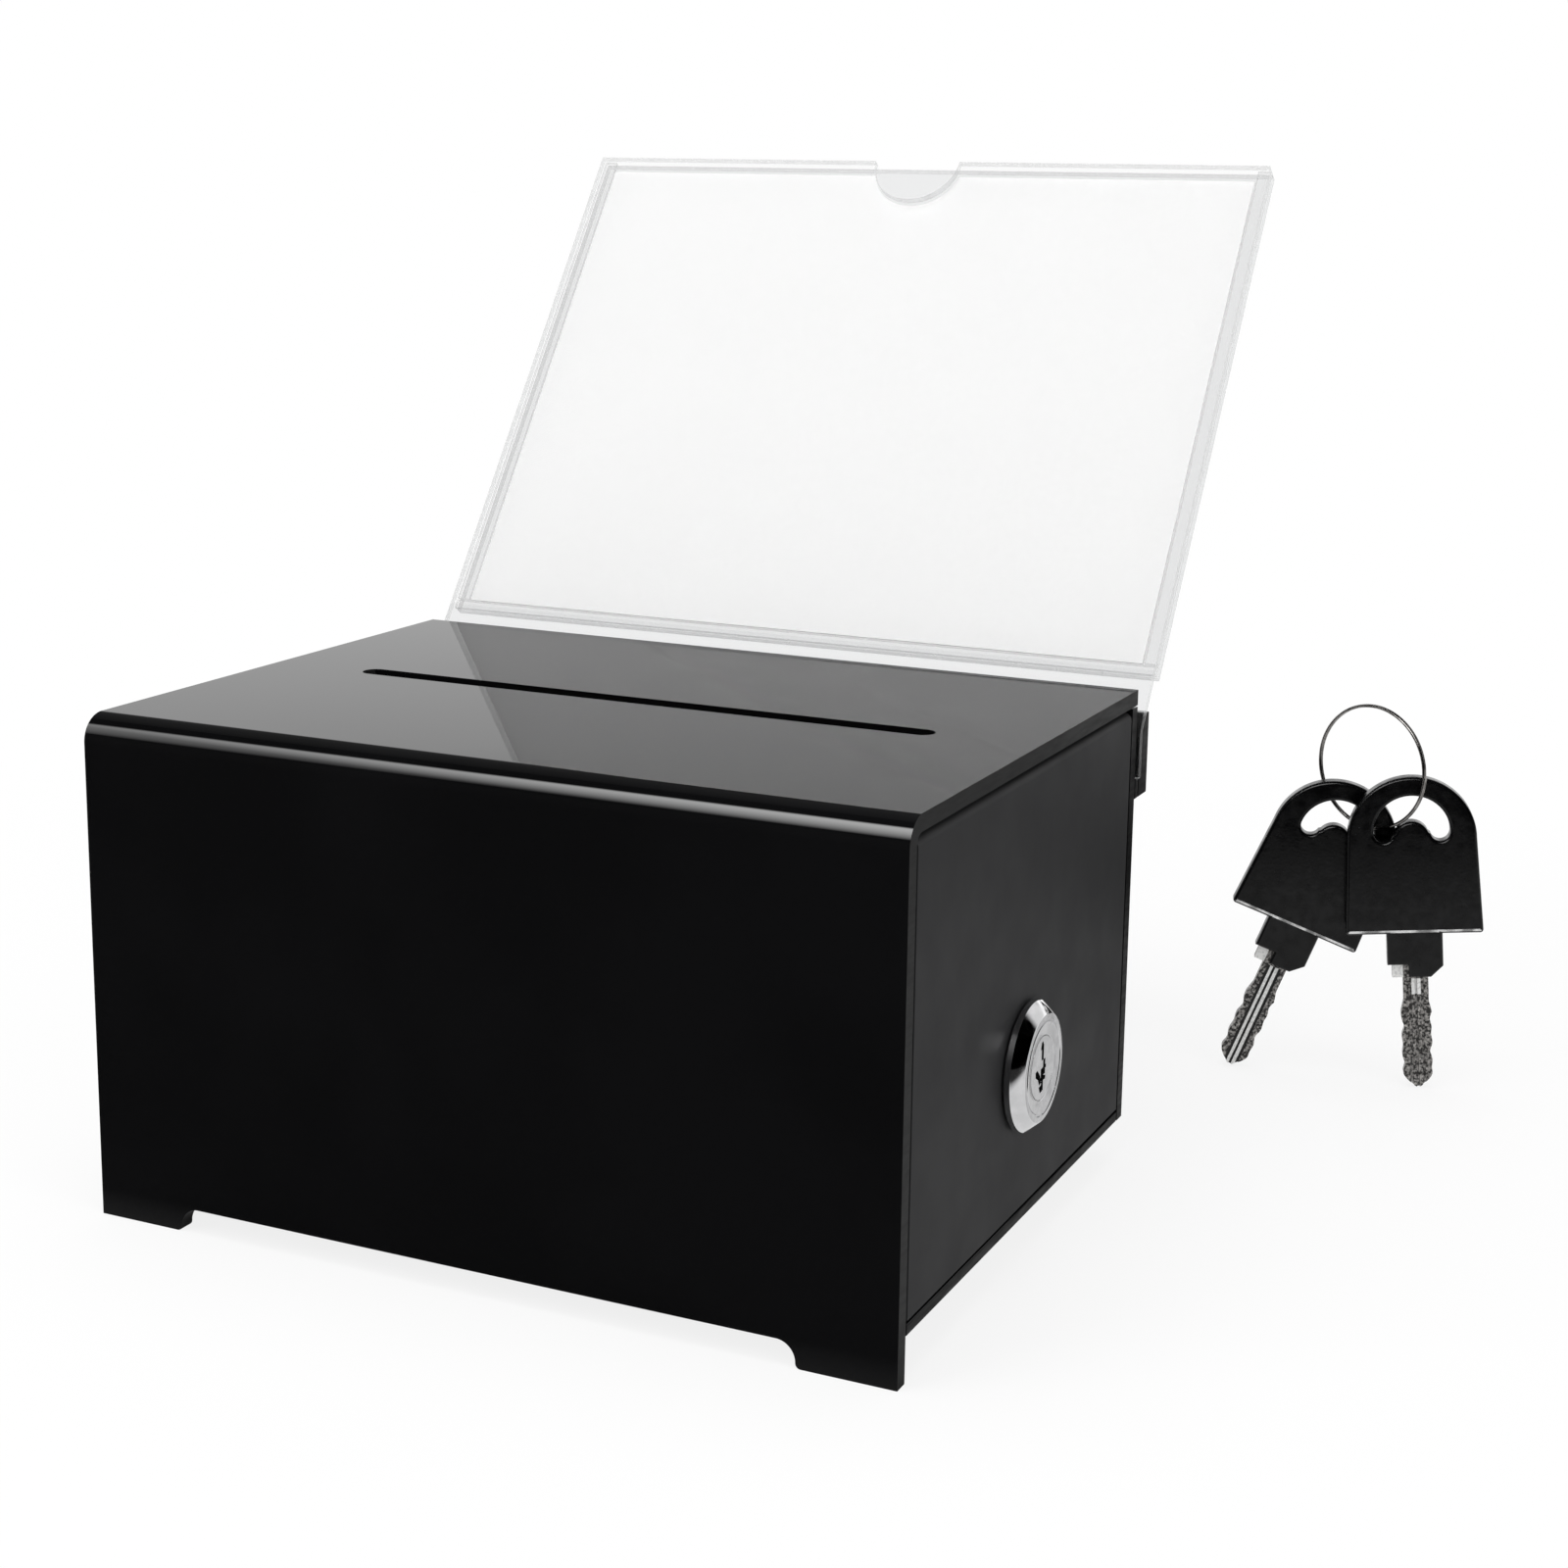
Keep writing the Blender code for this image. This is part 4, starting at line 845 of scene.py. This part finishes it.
def model_blade(letter):
    """One blade with lengthwise grooves on both sides, stood in its key's place."""
    half = BLADE_HALF_THICKNESS
    points = [Vector((x, -half, z)) for x, z in blade_outline()]
    piece = add_outline(f"key_{letter}_blade_cut", points, Vector((0, 2 * half, 0)))
    for middle, width in GROOVES:
        for side in (-1, 1):
            near, far = side * (half - GROOVE_DEPTH), side * (half + OVERRUN)
            low = Vector((side * middle - width / 2, min(near, far), -OVERRUN))
            high = Vector((side * middle + width / 2, max(near, far), GROOVE_TOP))
            cut_with(piece, add_block("groove_cutter", low, high))
    score_across(piece, Vector((0, 0, GROOVE_TOP)), Vector((0, 0, 1)))
    score_across(piece, Vector((0, 0, HIGHLIGHT_STARTS["b"])), Vector((0, 0, 1)))
    score_across(piece, Vector((-BLADE_NECK_HALF_WIDTH, 0, 0)), Vector((1, 0, 0)))
    piece.matrix_world = key_stand(letter)
    apply_place(piece)
    return piece


def bow_outline():
    """The bow and its stem, notched above the blade's stop and bevelled at the other corner."""
    notch_x, notch_z = STEM_NOTCH
    chamfer_x, chamfer_z = STEM_CHAMFER
    points = [(notch_x, BLADE_LENGTH), (chamfer_x, BLADE_LENGTH), (STEM_HALF_WIDTH, chamfer_z)]
    points += [(STEM_HALF_WIDTH, BOW_FOOT)]
    side = BOW_FOOT_HALF_WIDTH - BOW_CORNER
    points += arc((side, BOW_FOOT + BOW_CORNER), BOW_CORNER, -90, 0, BOW_CORNER_STEPS)
    points += arc((0, BOW_CENTRE), BOW_RADIUS, 0, 180, BOW_ARCH_STEPS)
    points += arc((-side, BOW_FOOT + BOW_CORNER), BOW_CORNER, 180, 270, BOW_CORNER_STEPS)
    points += [(-STEM_HALF_WIDTH, BOW_FOOT), (-STEM_HALF_WIDTH, notch_z), (notch_x, notch_z)]
    return points


def bow_hole_outline():
    """The crescent hole: a wide arch above, a round lobe at each end and a hump between them."""
    lobe = HOLE_RADIUS - LOBE_RADIUS
    points = arc((0, HOLE_CENTRE), HOLE_RADIUS, 0, 180, HOLE_ARCH_STEPS)
    points += arc((-lobe, HOLE_CENTRE), LOBE_RADIUS, 180, 360, LOBE_STEPS)[1:-1]
    hump = (0, HOLE_CENTRE - HUMP_DROP)
    points += arc(hump, HUMP_RADIUS, 180 - HUMP_END_DEGREES, HUMP_END_DEGREES, HUMP_STEPS)
    points += arc((lobe, HOLE_CENTRE), LOBE_RADIUS, 180, 360, LOBE_STEPS)[1:-1]
    return points


def model_bow(letter, edge):
    """One moulded bow: its outline extruded, holed, rounded along both faces and stood in its place."""
    half = BOW_HALF_THICKNESS
    points = [Vector((x, -half, z)) for x, z in bow_outline()]
    piece = add_outline(f"key_{letter}_bow_moulded", points, Vector((0, 2 * half, 0)))
    points = [Vector((x, -half - OVERRUN, z)) for x, z in bow_hole_outline()]
    cut_with(piece, add_outline("hole_cutter", points, Vector((0, 2 * (half + OVERRUN), 0))))
    edit_piece(piece, "EDGE")
    select_edges(piece, is_face_rim)
    bpy.ops.mesh.bevel(offset=edge, segments=BOW_EDGE_SEGMENTS, affect="EDGES", clamp_overlap=False)
    close_edit()
    # Splits off the band that takes the painted highlight
    for height in PAINTED_HIGHLIGHT_BAND:
        score_across(piece, Vector((0, 0, BOW_FOOT + height)), Vector((0, 0, 1)), flats_only=True)
    piece.matrix_world = key_stand(letter)
    apply_place(piece)
    shade_smooth(piece, SMOOTH_DEGREES)
    weigh_normals(piece)
    return piece


def is_painted_highlight_on_blade(letter, place):
    """True where the blade takes a painted highlight: its ridges from a height up, and its stop."""
    if place.x < -BLADE_NECK_HALF_WIDTH:
        return place.z > STOP_LOW
    return abs(place.x) < RIDGE_REACH and HIGHLIGHT_STARTS[letter] < place.z < GROOVE_TOP


def dress_copy(node, name, body, slot, material, width):
    """A clean copy of a frame node with rounded edges, in its finish."""
    piece = copy_node(node, name)
    round_edges(piece, width)
    return settle(piece, body, slot, material, node)


class CBOX_OT_front_top_sheet(bpy.types.Operator):
    """Models the bent front and top sheet"""

    bl_idname = "cbox.front_top_sheet"
    bl_label = "Front and Top Sheet"

    def execute(self, context):
        look = context.scene.cbox_sheet
        piece = model_front_top_sheet(look)
        round_edges(piece, look.edge_radius, SHEET_SMOOTH_DEGREES)
        settle(piece, "box", "black_acrylic", black_acrylic(look), "front_top_sheet")
        top = black_acrylic(look, "black_acrylic_top", look.top_gloss)
        front = black_acrylic(look, "black_acrylic_front", look.front_gloss)
        share_faces(piece, (top, front, sawn_acrylic("black_acrylic_sheet_edge", look.sheet_edge)), sheet_finish)
        return {"FINISHED"}


def sheet_finish(face):
    """The number of a sheet face's finish: 1 on the top, 2 on the front, 3 on the right edges."""
    if face.normal.z > STRAIGHT:
        return 1
    if face.normal.y < -STRAIGHT:
        return 2
    return 3 if face.normal.x > SIDEWAYS else 0


class CBOX_OT_walls(bpy.types.Operator):
    """Finishes the fixed walls, the keeper and the sign bracket"""

    bl_idname = "cbox.walls"
    bl_label = "Walls and Bracket"

    def execute(self, context):
        look = context.scene.cbox_sheet
        material = black_acrylic(look)
        edge = sawn_acrylic("black_acrylic_wall_edge", look.wall_edge)
        for node in WALL_NODES:
            piece = dress_copy(node, f"{node}_polished", "box", "black_acrylic", material, look.edge_radius)
            share_faces(piece, (edge,), lambda face: int(face.normal.x > SIDEWAYS))
        return {"FINISHED"}


class CBOX_OT_door(bpy.types.Operator):
    """Finishes the side door and its pins"""

    bl_idname = "cbox.door"
    bl_label = "Side Door"

    def execute(self, context):
        look = context.scene.cbox_sheet
        # The door's grey colour is a painted reflection
        satin = listed_finish("black_acrylic_satin_painted_reflection", look.side_reflection_colour)
        dress_copy("side_door", "side_door_satin", "door", "black_acrylic", satin, look.edge_radius)
        steel = listed_finish("zinc_plated_steel", context.scene.cbox_lock.steel)
        for node in ("hinge_pin_front", "hinge_pin_rear"):
            dress_copy(node, f"{node}_steel", "box", "plain_steel", steel, look.edge_radius)
        return {"FINISHED"}


class CBOX_OT_lock(bpy.types.Operator):
    """Models the lock's bezel and finishes the plug, cam, nut, washers and screw"""

    bl_idname = "cbox.lock"
    bl_label = "Cam Lock"

    def execute(self, context):
        look = context.scene.cbox_lock
        chrome = listed_finish("bright_chrome_plate", look.chrome)
        steel = listed_finish("zinc_plated_steel", look.steel)
        turned = listed_finish("turned_chrome_face", times(look.chrome, 0.8))
        # Painted shade for the keyway's walls
        dark = listed_finish("painted_shade_dark_steel", PAINTED_SHADE_COLOUR)
        piece = settle(model_lock_housing(look), "door", "bright_chrome", chrome, "lock_housing")
        share_faces(piece, (turned,), lambda face: int(face.normal.x > DISHED))
        piece = settle(model_lock_plug(), "lock_core", "bright_chrome", chrome, "lock_plug")
        share_faces(piece, (turned, dark), plug_finish)
        for node, body in INNER_LOCK_BODIES.items():
            dress_copy(node, f"{node}_steel", body, "plain_steel", steel, STEEL_EDGE)
        return {"FINISHED"}


def plug_finish(face):
    """The number of a plug face's finish: 1 on its front, 2 inside the keyway, where shade is painted."""
    return 2 if is_in_keyway(face.center) else int(face.normal.x > STRAIGHT)


class CBOX_OT_sign(bpy.types.Operator):
    """Finishes the clear sign holder"""

    bl_idname = "cbox.sign"
    bl_label = "Sign Holder"

    def execute(self, context):
        look = context.scene.cbox_sign
        front = clear_acrylic("clear_acrylic_front", tuple(look.tint))
        back = clear_acrylic("clear_acrylic_back", tuple(look.back_tint))
        edge = frosted_edge(look)
        pocket_low = min(vertex.co.dot(SIGN_UP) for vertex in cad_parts["sign_bottom_spacer"].data.vertices)
        bracket_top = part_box("sign_bracket_plate")[1][2]
        for node in SIGN_NODES:
            piece = copy_node(node, f"{node}_clear")
            if node == "sign_front_sheet":
                score_across(piece, pocket_low * SIGN_UP, SIGN_UP)
                score_across(piece, Vector((0, 0, bracket_top)), Vector((0, 0, 1)))
            round_edges(piece, look.edge_radius)
            main = back if node == "sign_back_sheet" else front
            settle(piece, "sign_holder", "clear_acrylic", main, node)
            tongue_top = pocket_low if node == "sign_front_sheet" else -math.inf
            share_faces(piece, (edge, back), lambda face: sign_finish(face, bracket_top, tongue_top))
        return {"FINISHED"}


def sign_finish(face, bracket_top, tongue_top):
    """The number of a clear face's finish: 1 on the cut edges above the bracket, 2 on the rest of the tongue."""
    if is_cut_edge(face.normal) and face.center.z > bracket_top:
        return 1
    return 2 if face.center.dot(SIGN_UP) < tongue_top else 0


def is_cut_edge(normal):
    """True for the cut edges of the clear sheets, which face sideways or along the sign."""
    return abs(normal.x) > 0.5 or abs(normal.dot(SIGN_UP)) > 0.7 or normal.z < -0.9


class CBOX_OT_card(bpy.types.Operator):
    """Finishes the blank card"""

    bl_idname = "cbox.card"
    bl_label = "Blank Card"

    def execute(self, context):
        card = listed_finish("white_card_stock", context.scene.cbox_sign.card_colour)
        settle(copy_node("insert_card", "insert_card_blank"), "card", "white_card", card, "insert_card")
        return {"FINISHED"}


class CBOX_OT_keys(bpy.types.Operator):
    """Finishes the two keys"""

    bl_idname = "cbox.keys"
    bl_label = "Keys"

    def execute(self, context):
        look = context.scene.cbox_key
        plastic = listed_finish("key_bow_plastic", look.bow_colour)
        # A pale band painted along the bows' lower edges as a highlight
        edge_highlight = listed_finish("key_bow_painted_highlight_edge", look.edge_highlight_colour)
        nickel = listed_finish("key_blade_nickel", look.blade_colour)
        # Pale faces painted on the ridges and stops as highlights
        bright = listed_finish("key_blade_painted_highlight", [min(0.95, part) for part in times(look.blade_colour, 1.95)])
        # Painted shade for key A's grooves
        dark = listed_finish("painted_shade_dark_steel", PAINTED_SHADE_COLOUR)
        for letter in ("a", "b"):
            upright = key_stand(letter).inverted()
            piece = settle(model_bow(letter, look.bow_edge), "box", "key_plastic", plastic, f"key_{letter}_bow")
            share_faces(piece, (edge_highlight,), lambda face: bow_finish(upright, face))
            piece = model_blade(letter)
            round_edges(piece, look.blade_edge, BLADE_SMOOTH_DEGREES)
            settle(piece, "box", "key_nickel", nickel, f"key_{letter}_blade")
            share_faces(piece, (bright, dark), lambda face: blade_finish(letter, upright, face))
        return {"FINISHED"}


def is_flat_on_key(upright, face):
    """True for a face that lies along one of its key's two broad sides."""
    return abs((upright.to_3x3() @ face.normal).y) > NEARLY_STRAIGHT


def bow_finish(upright, face):
    """The number of a bow face's finish: 1 in the band above its foot where a highlight is painted."""
    height = (upright @ face.center).z - BOW_FOOT
    return int(is_flat_on_key(upright, face) and PAINTED_HIGHLIGHT_BAND[0] < height < PAINTED_HIGHLIGHT_BAND[1])


def blade_finish(letter, upright, face):
    """The number of a blade face's finish: 1 where a highlight is painted, 2 in key A's grooves, where shade is
    painted.
    """
    place = upright @ face.center
    flat = is_flat_on_key(upright, face)
    if letter == "a" and flat and abs(place.y) < BLADE_HALF_THICKNESS - GROOVE_DEPTH / 2:
        return 2
    return int(flat and is_painted_highlight_on_blade(letter, place))


class CBOX_OT_ring(bpy.types.Operator):
    """Models the split ring as two close turns of wire"""

    bl_idname = "cbox.ring"
    bl_label = "Split Ring"

    def execute(self, context):
        look = context.scene.cbox_key
        steel = listed_finish("ring_spring_steel", times(look.blade_colour, 0.7))
        settle(model_ring(look.ring_wire), "box", "ring_steel", steel, "key_ring")
        return {"FINISHED"}


def model_ring(wire):
    """The ring's wire in two close turns, made a mesh."""
    centre = (RING_LOW + RING_HIGH) / 2
    radius = (RING_HIGH.z - RING_LOW.z) / 2 - RING_INSET
    yaw = ring_yaw()
    across = Vector((math.cos(yaw), math.sin(yaw), 0))
    along = Vector((-math.sin(yaw), math.cos(yaw), 0))
    curve = bpy.data.curves.new("split_ring", "CURVE")
    curve.dimensions = "3D"
    curve.bevel_depth = wire
    curve.bevel_resolution = RING_WIRE_ROUNDNESS
    curve.use_fill_caps = True
    spline = curve.splines.new("POLY")
    spline.points.add(RING_STEPS)
    for step in range(RING_STEPS + 1):
        share = step / RING_STEPS
        angle = share * RING_TURNS * math.tau
        shift = (share - 0.5) * 2 * wire
        place = centre + radius * (math.cos(angle) * across + math.sin(angle) * Vector((0, 0, 1)))
        spline.points[step].co = (*(place + shift * along), 1.0)
    piece = bpy.data.objects.new("split_ring", curve)
    bpy.context.scene.collection.objects.link(piece)
    make_active(piece)
    bpy.ops.object.convert(target="MESH")
    piece = bpy.context.object
    bpy.ops.object.shade_smooth()
    return piece


def ring_yaw():
    """The turn of the ring's plane about Z, from the widest line across its node."""
    points = [vertex.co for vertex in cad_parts["key_ring"].data.vertices]
    low = min(points, key=lambda point: point.x)
    high = max(points, key=lambda point: point.x)
    return math.atan2(high.y - low.y, high.x - low.x)


def split_axes(tree, place):
    """The separate X, Y and Z of a place."""
    return add_node(tree, "ShaderNodeSeparateXYZ", {"Vector": place}).outputs


def mix_shaders(tree, share, first, second):
    """The shader between two others, by a share."""
    return add_node(tree, "ShaderNodeMixShader", {"Fac": share, 1: first, 2: second}).outputs["Shader"]


def set_world(look):
    """A white studio to the eye and through glass; in gloss a pale backdrop behind and dark above."""
    world = bpy.data.worlds.new("studio")
    bpy.context.scene.world = world
    world.use_nodes = True
    tree = world.node_tree
    seen_by = tree.nodes.new("ShaderNodeLightPath").outputs
    axes = split_axes(tree, tree.nodes.new("ShaderNodeTexCoord").outputs["Generated"])
    behind = add_span(tree, axes["Y"], BACKDROP_RISE, DARK_FRONT, look.backdrop_level)
    low = add_span(tree, axes["Z"], BACKDROP_TOP, 1.0, DARK_ABOVE)
    narrow = add_span(tree, axes["X"], BACKDROP_RIGHT_END, 1.0, 0.0)
    backdrop = add_math(tree, "MULTIPLY", behind, low, narrow)
    right = add_span(tree, axes["X"], SIDE_RISE, 0.0, look.side_level)
    back = add_span(tree, axes["Y"], SIDE_BACK, 0.0, 1.0)
    mirrored = add_math(tree, "MAXIMUM", backdrop, add_math(tree, "MULTIPLY", right, back))
    gloss = add_math(tree, "MULTIPLY", mirrored, seen_by["Is Glossy Ray"])
    seen = add_math(tree, "MAXIMUM", seen_by["Is Camera Ray"], seen_by["Is Transmission Ray"])
    diffuse = add_math(tree, "MULTIPLY", seen_by["Is Diffuse Ray"], look.world_level)
    total = add_math(tree, "MAXIMUM", gloss, seen, diffuse)
    fill(tree, tree.nodes["Background"], {"Color": (1, 1, 1, 1), "Strength": total})


def floor_material(look):
    """A pale floor with a soft shadow: white to the eye, and darker in front in gloss."""
    material, tree, coordinates = start_material("studio_floor")
    if tree:
        surface = {"Base Color": (*look.floor_colour, 1.0), "Roughness": 0.9, "Specular IOR Level": 0.0}
        shader = fill(tree, tree.nodes["Principled BSDF"], surface)
        seen_by = tree.nodes.new("ShaderNodeLightPath").outputs
        place = coordinates.outputs["Object"]
        length = add_node(tree, "ShaderNodeVectorMath", {0: place})
        length.operation = "LENGTH"
        fade = add_span(tree, length.outputs["Value"], FLOOR_FADE, look.floor_white, 1.0)
        seen = add_math(tree, "MULTIPLY", fade, seen_by["Is Camera Ray"])
        white = tree.nodes.new("ShaderNodeEmission").outputs["Emission"]
        plain = mix_shaders(tree, seen, shader.outputs["BSDF"], white)
        level = add_span(tree, split_axes(tree, place)["Y"], FLOOR_GLOSS_START, *FLOOR_GLOSS)
        mirrored = add_node(tree, "ShaderNodeEmission", {"Strength": level})
        whole = mix_shaders(tree, seen_by["Is Glossy Ray"], plain, mirrored.outputs["Emission"])
        fill(tree, tree.nodes["Material Output"], {"Surface": whole})
    return material


def reflector_glow(look):
    """The reflector's light, which fades towards three of its sides."""
    material, tree, coordinates = start_material("reflector_glow")
    if tree:
        axes = split_axes(tree, coordinates.outputs["Object"])
        near = add_span(tree, axes["Y"], REFLECTOR_NEAR_END, 1.0, 0.0)
        far = add_span(tree, axes["Y"], REFLECTOR_FAR_RISE, 0.0, 1.0)
        across = add_span(tree, axes["X"], REFLECTOR_ACROSS, REFLECTOR_LEFT_SHARE, 1.0)
        level = add_math(tree, "MULTIPLY", near, far, across, look.reflector_level)
        glow = add_node(tree, "ShaderNodeEmission", {"Strength": level})
        fill(tree, tree.nodes["Material Output"], {"Surface": glow.outputs["Emission"]})
    return material


def add_reflector(look):
    """A bright card above the front, seen only in gloss: the streak along the bend."""
    deselect_all()
    bpy.ops.mesh.primitive_plane_add(size=1.0, location=ZERO + REFLECTOR_PLACE)
    card = bpy.context.object
    card.name = "reflector_card"
    card.data.materials.append(reflector_glow(look))
    card.visible_camera = False
    card.visible_diffuse = False
    card.visible_transmission = False
    card.visible_shadow = False


def add_lamp(name, place, size, energy):
    """A soft square lamp aimed at the box and left out of the gloss."""
    data = bpy.data.lights.new(name, "AREA")
    data.shape = "SQUARE"
    data.size = size
    data.energy = energy
    lamp = bpy.data.objects.new(name, data)
    bpy.context.scene.collection.objects.link(lamp)
    lamp.location = ZERO + place
    lamp.rotation_euler = (ZERO + LAMP_AIM - lamp.location).to_track_quat("-Z", "Y").to_euler()
    lamp.visible_camera = False
    lamp.visible_glossy = False
    lamp.visible_transmission = False
    return lamp


def add_camera():
    """The camera at the photograph's place and angle."""
    data = bpy.data.cameras.new("camera")
    data.lens = CAMERA_LENS_MM
    data.sensor_width = SENSOR_MM
    data.sensor_fit = "HORIZONTAL"
    data.shift_y = (VIEW_CENTRE_ROW - IMAGE_PIXELS / 2) / IMAGE_PIXELS
    data.clip_start = 0.01
    data.clip_end = 20.0
    camera = bpy.data.objects.new("camera", data)
    bpy.context.scene.collection.objects.link(camera)
    back = (CAMERA_PLACE - CAMERA_TARGET).normalized()
    right = Vector((0, 0, 1)).cross(back).normalized()
    up = back.cross(right)
    turn = Matrix((right, up, back)).transposed() @ Matrix.Rotation(math.radians(CAMERA_ROLL_DEGREES), 3, "Z")
    camera.matrix_world = Matrix.Translation(ZERO + CAMERA_PLACE) @ turn.to_4x4()
    bpy.context.scene.camera = camera


class CBOX_OT_stage(bpy.types.Operator):
    """Adds the floor, the lamps, the world and the camera"""

    bl_idname = "cbox.stage"
    bl_label = "Stage"

    def execute(self, context):
        look = context.scene.cbox_stage
        deselect_all()
        bpy.ops.mesh.primitive_plane_add(size=FLOOR_SIZE, location=(ZERO.x, ZERO.y + FLOOR_CENTRE_Y, 0))
        floor = context.object
        floor.name = "floor"
        floor.data.materials.append(floor_material(look))
        add_reflector(look)
        for name, place, size, energy in LAMPS:
            add_lamp(name, Vector(place), size, energy * look.lamp_level)
        set_world(look)
        context.scene.view_settings.view_transform = "Standard"
        add_camera()
        return {"FINISHED"}


OPERATORS = (
    CBOX_OT_front_top_sheet,
    CBOX_OT_walls,
    CBOX_OT_door,
    CBOX_OT_lock,
    CBOX_OT_sign,
    CBOX_OT_card,
    CBOX_OT_keys,
    CBOX_OT_ring,
    CBOX_OT_stage,
)
LOOKS = {
    "cbox_sheet": SheetLook,
    "cbox_sign": SignLook,
    "cbox_lock": LockLook,
    "cbox_key": KeyLook,
    "cbox_stage": StageLook,
}


class CBOX_PT_panel(bpy.types.Panel):
    """Lists the pieces of the collection box"""

    bl_label = "Collection Box"
    bl_idname = "CBOX_PT_panel"
    bl_space_type = "VIEW_3D"
    bl_region_type = "UI"
    bl_category = "Collection Box"

    def draw(self, context):
        for name in LOOKS:
            group = getattr(context.scene, name)
            column = self.layout.column()
            for item in group.bl_rna.properties:
                if item.identifier not in {"rna_type", "name"}:
                    column.prop(group, item.identifier)
        for operator in OPERATORS:
            self.layout.operator(operator.bl_idname)


def register():
    """Registers the classes and the settings that they read."""
    for item in (*LOOKS.values(), *OPERATORS, CBOX_PT_panel):
        bpy.utils.register_class(item)
    for name, group in LOOKS.items():
        setattr(bpy.types.Scene, name, PointerProperty(type=group))


def unregister():
    """Removes the settings and the classes."""
    for name in LOOKS:
        delattr(bpy.types.Scene, name)
    for item in reversed((*LOOKS.values(), *OPERATORS, CBOX_PT_panel)):
        bpy.utils.unregister_class(item)


def main():
    register()
    for operator in OPERATORS:
        group, name = operator.bl_idname.split(".")
        getattr(getattr(bpy.ops, group), name)()
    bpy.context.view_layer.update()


if __name__ == "__main__":
    main()
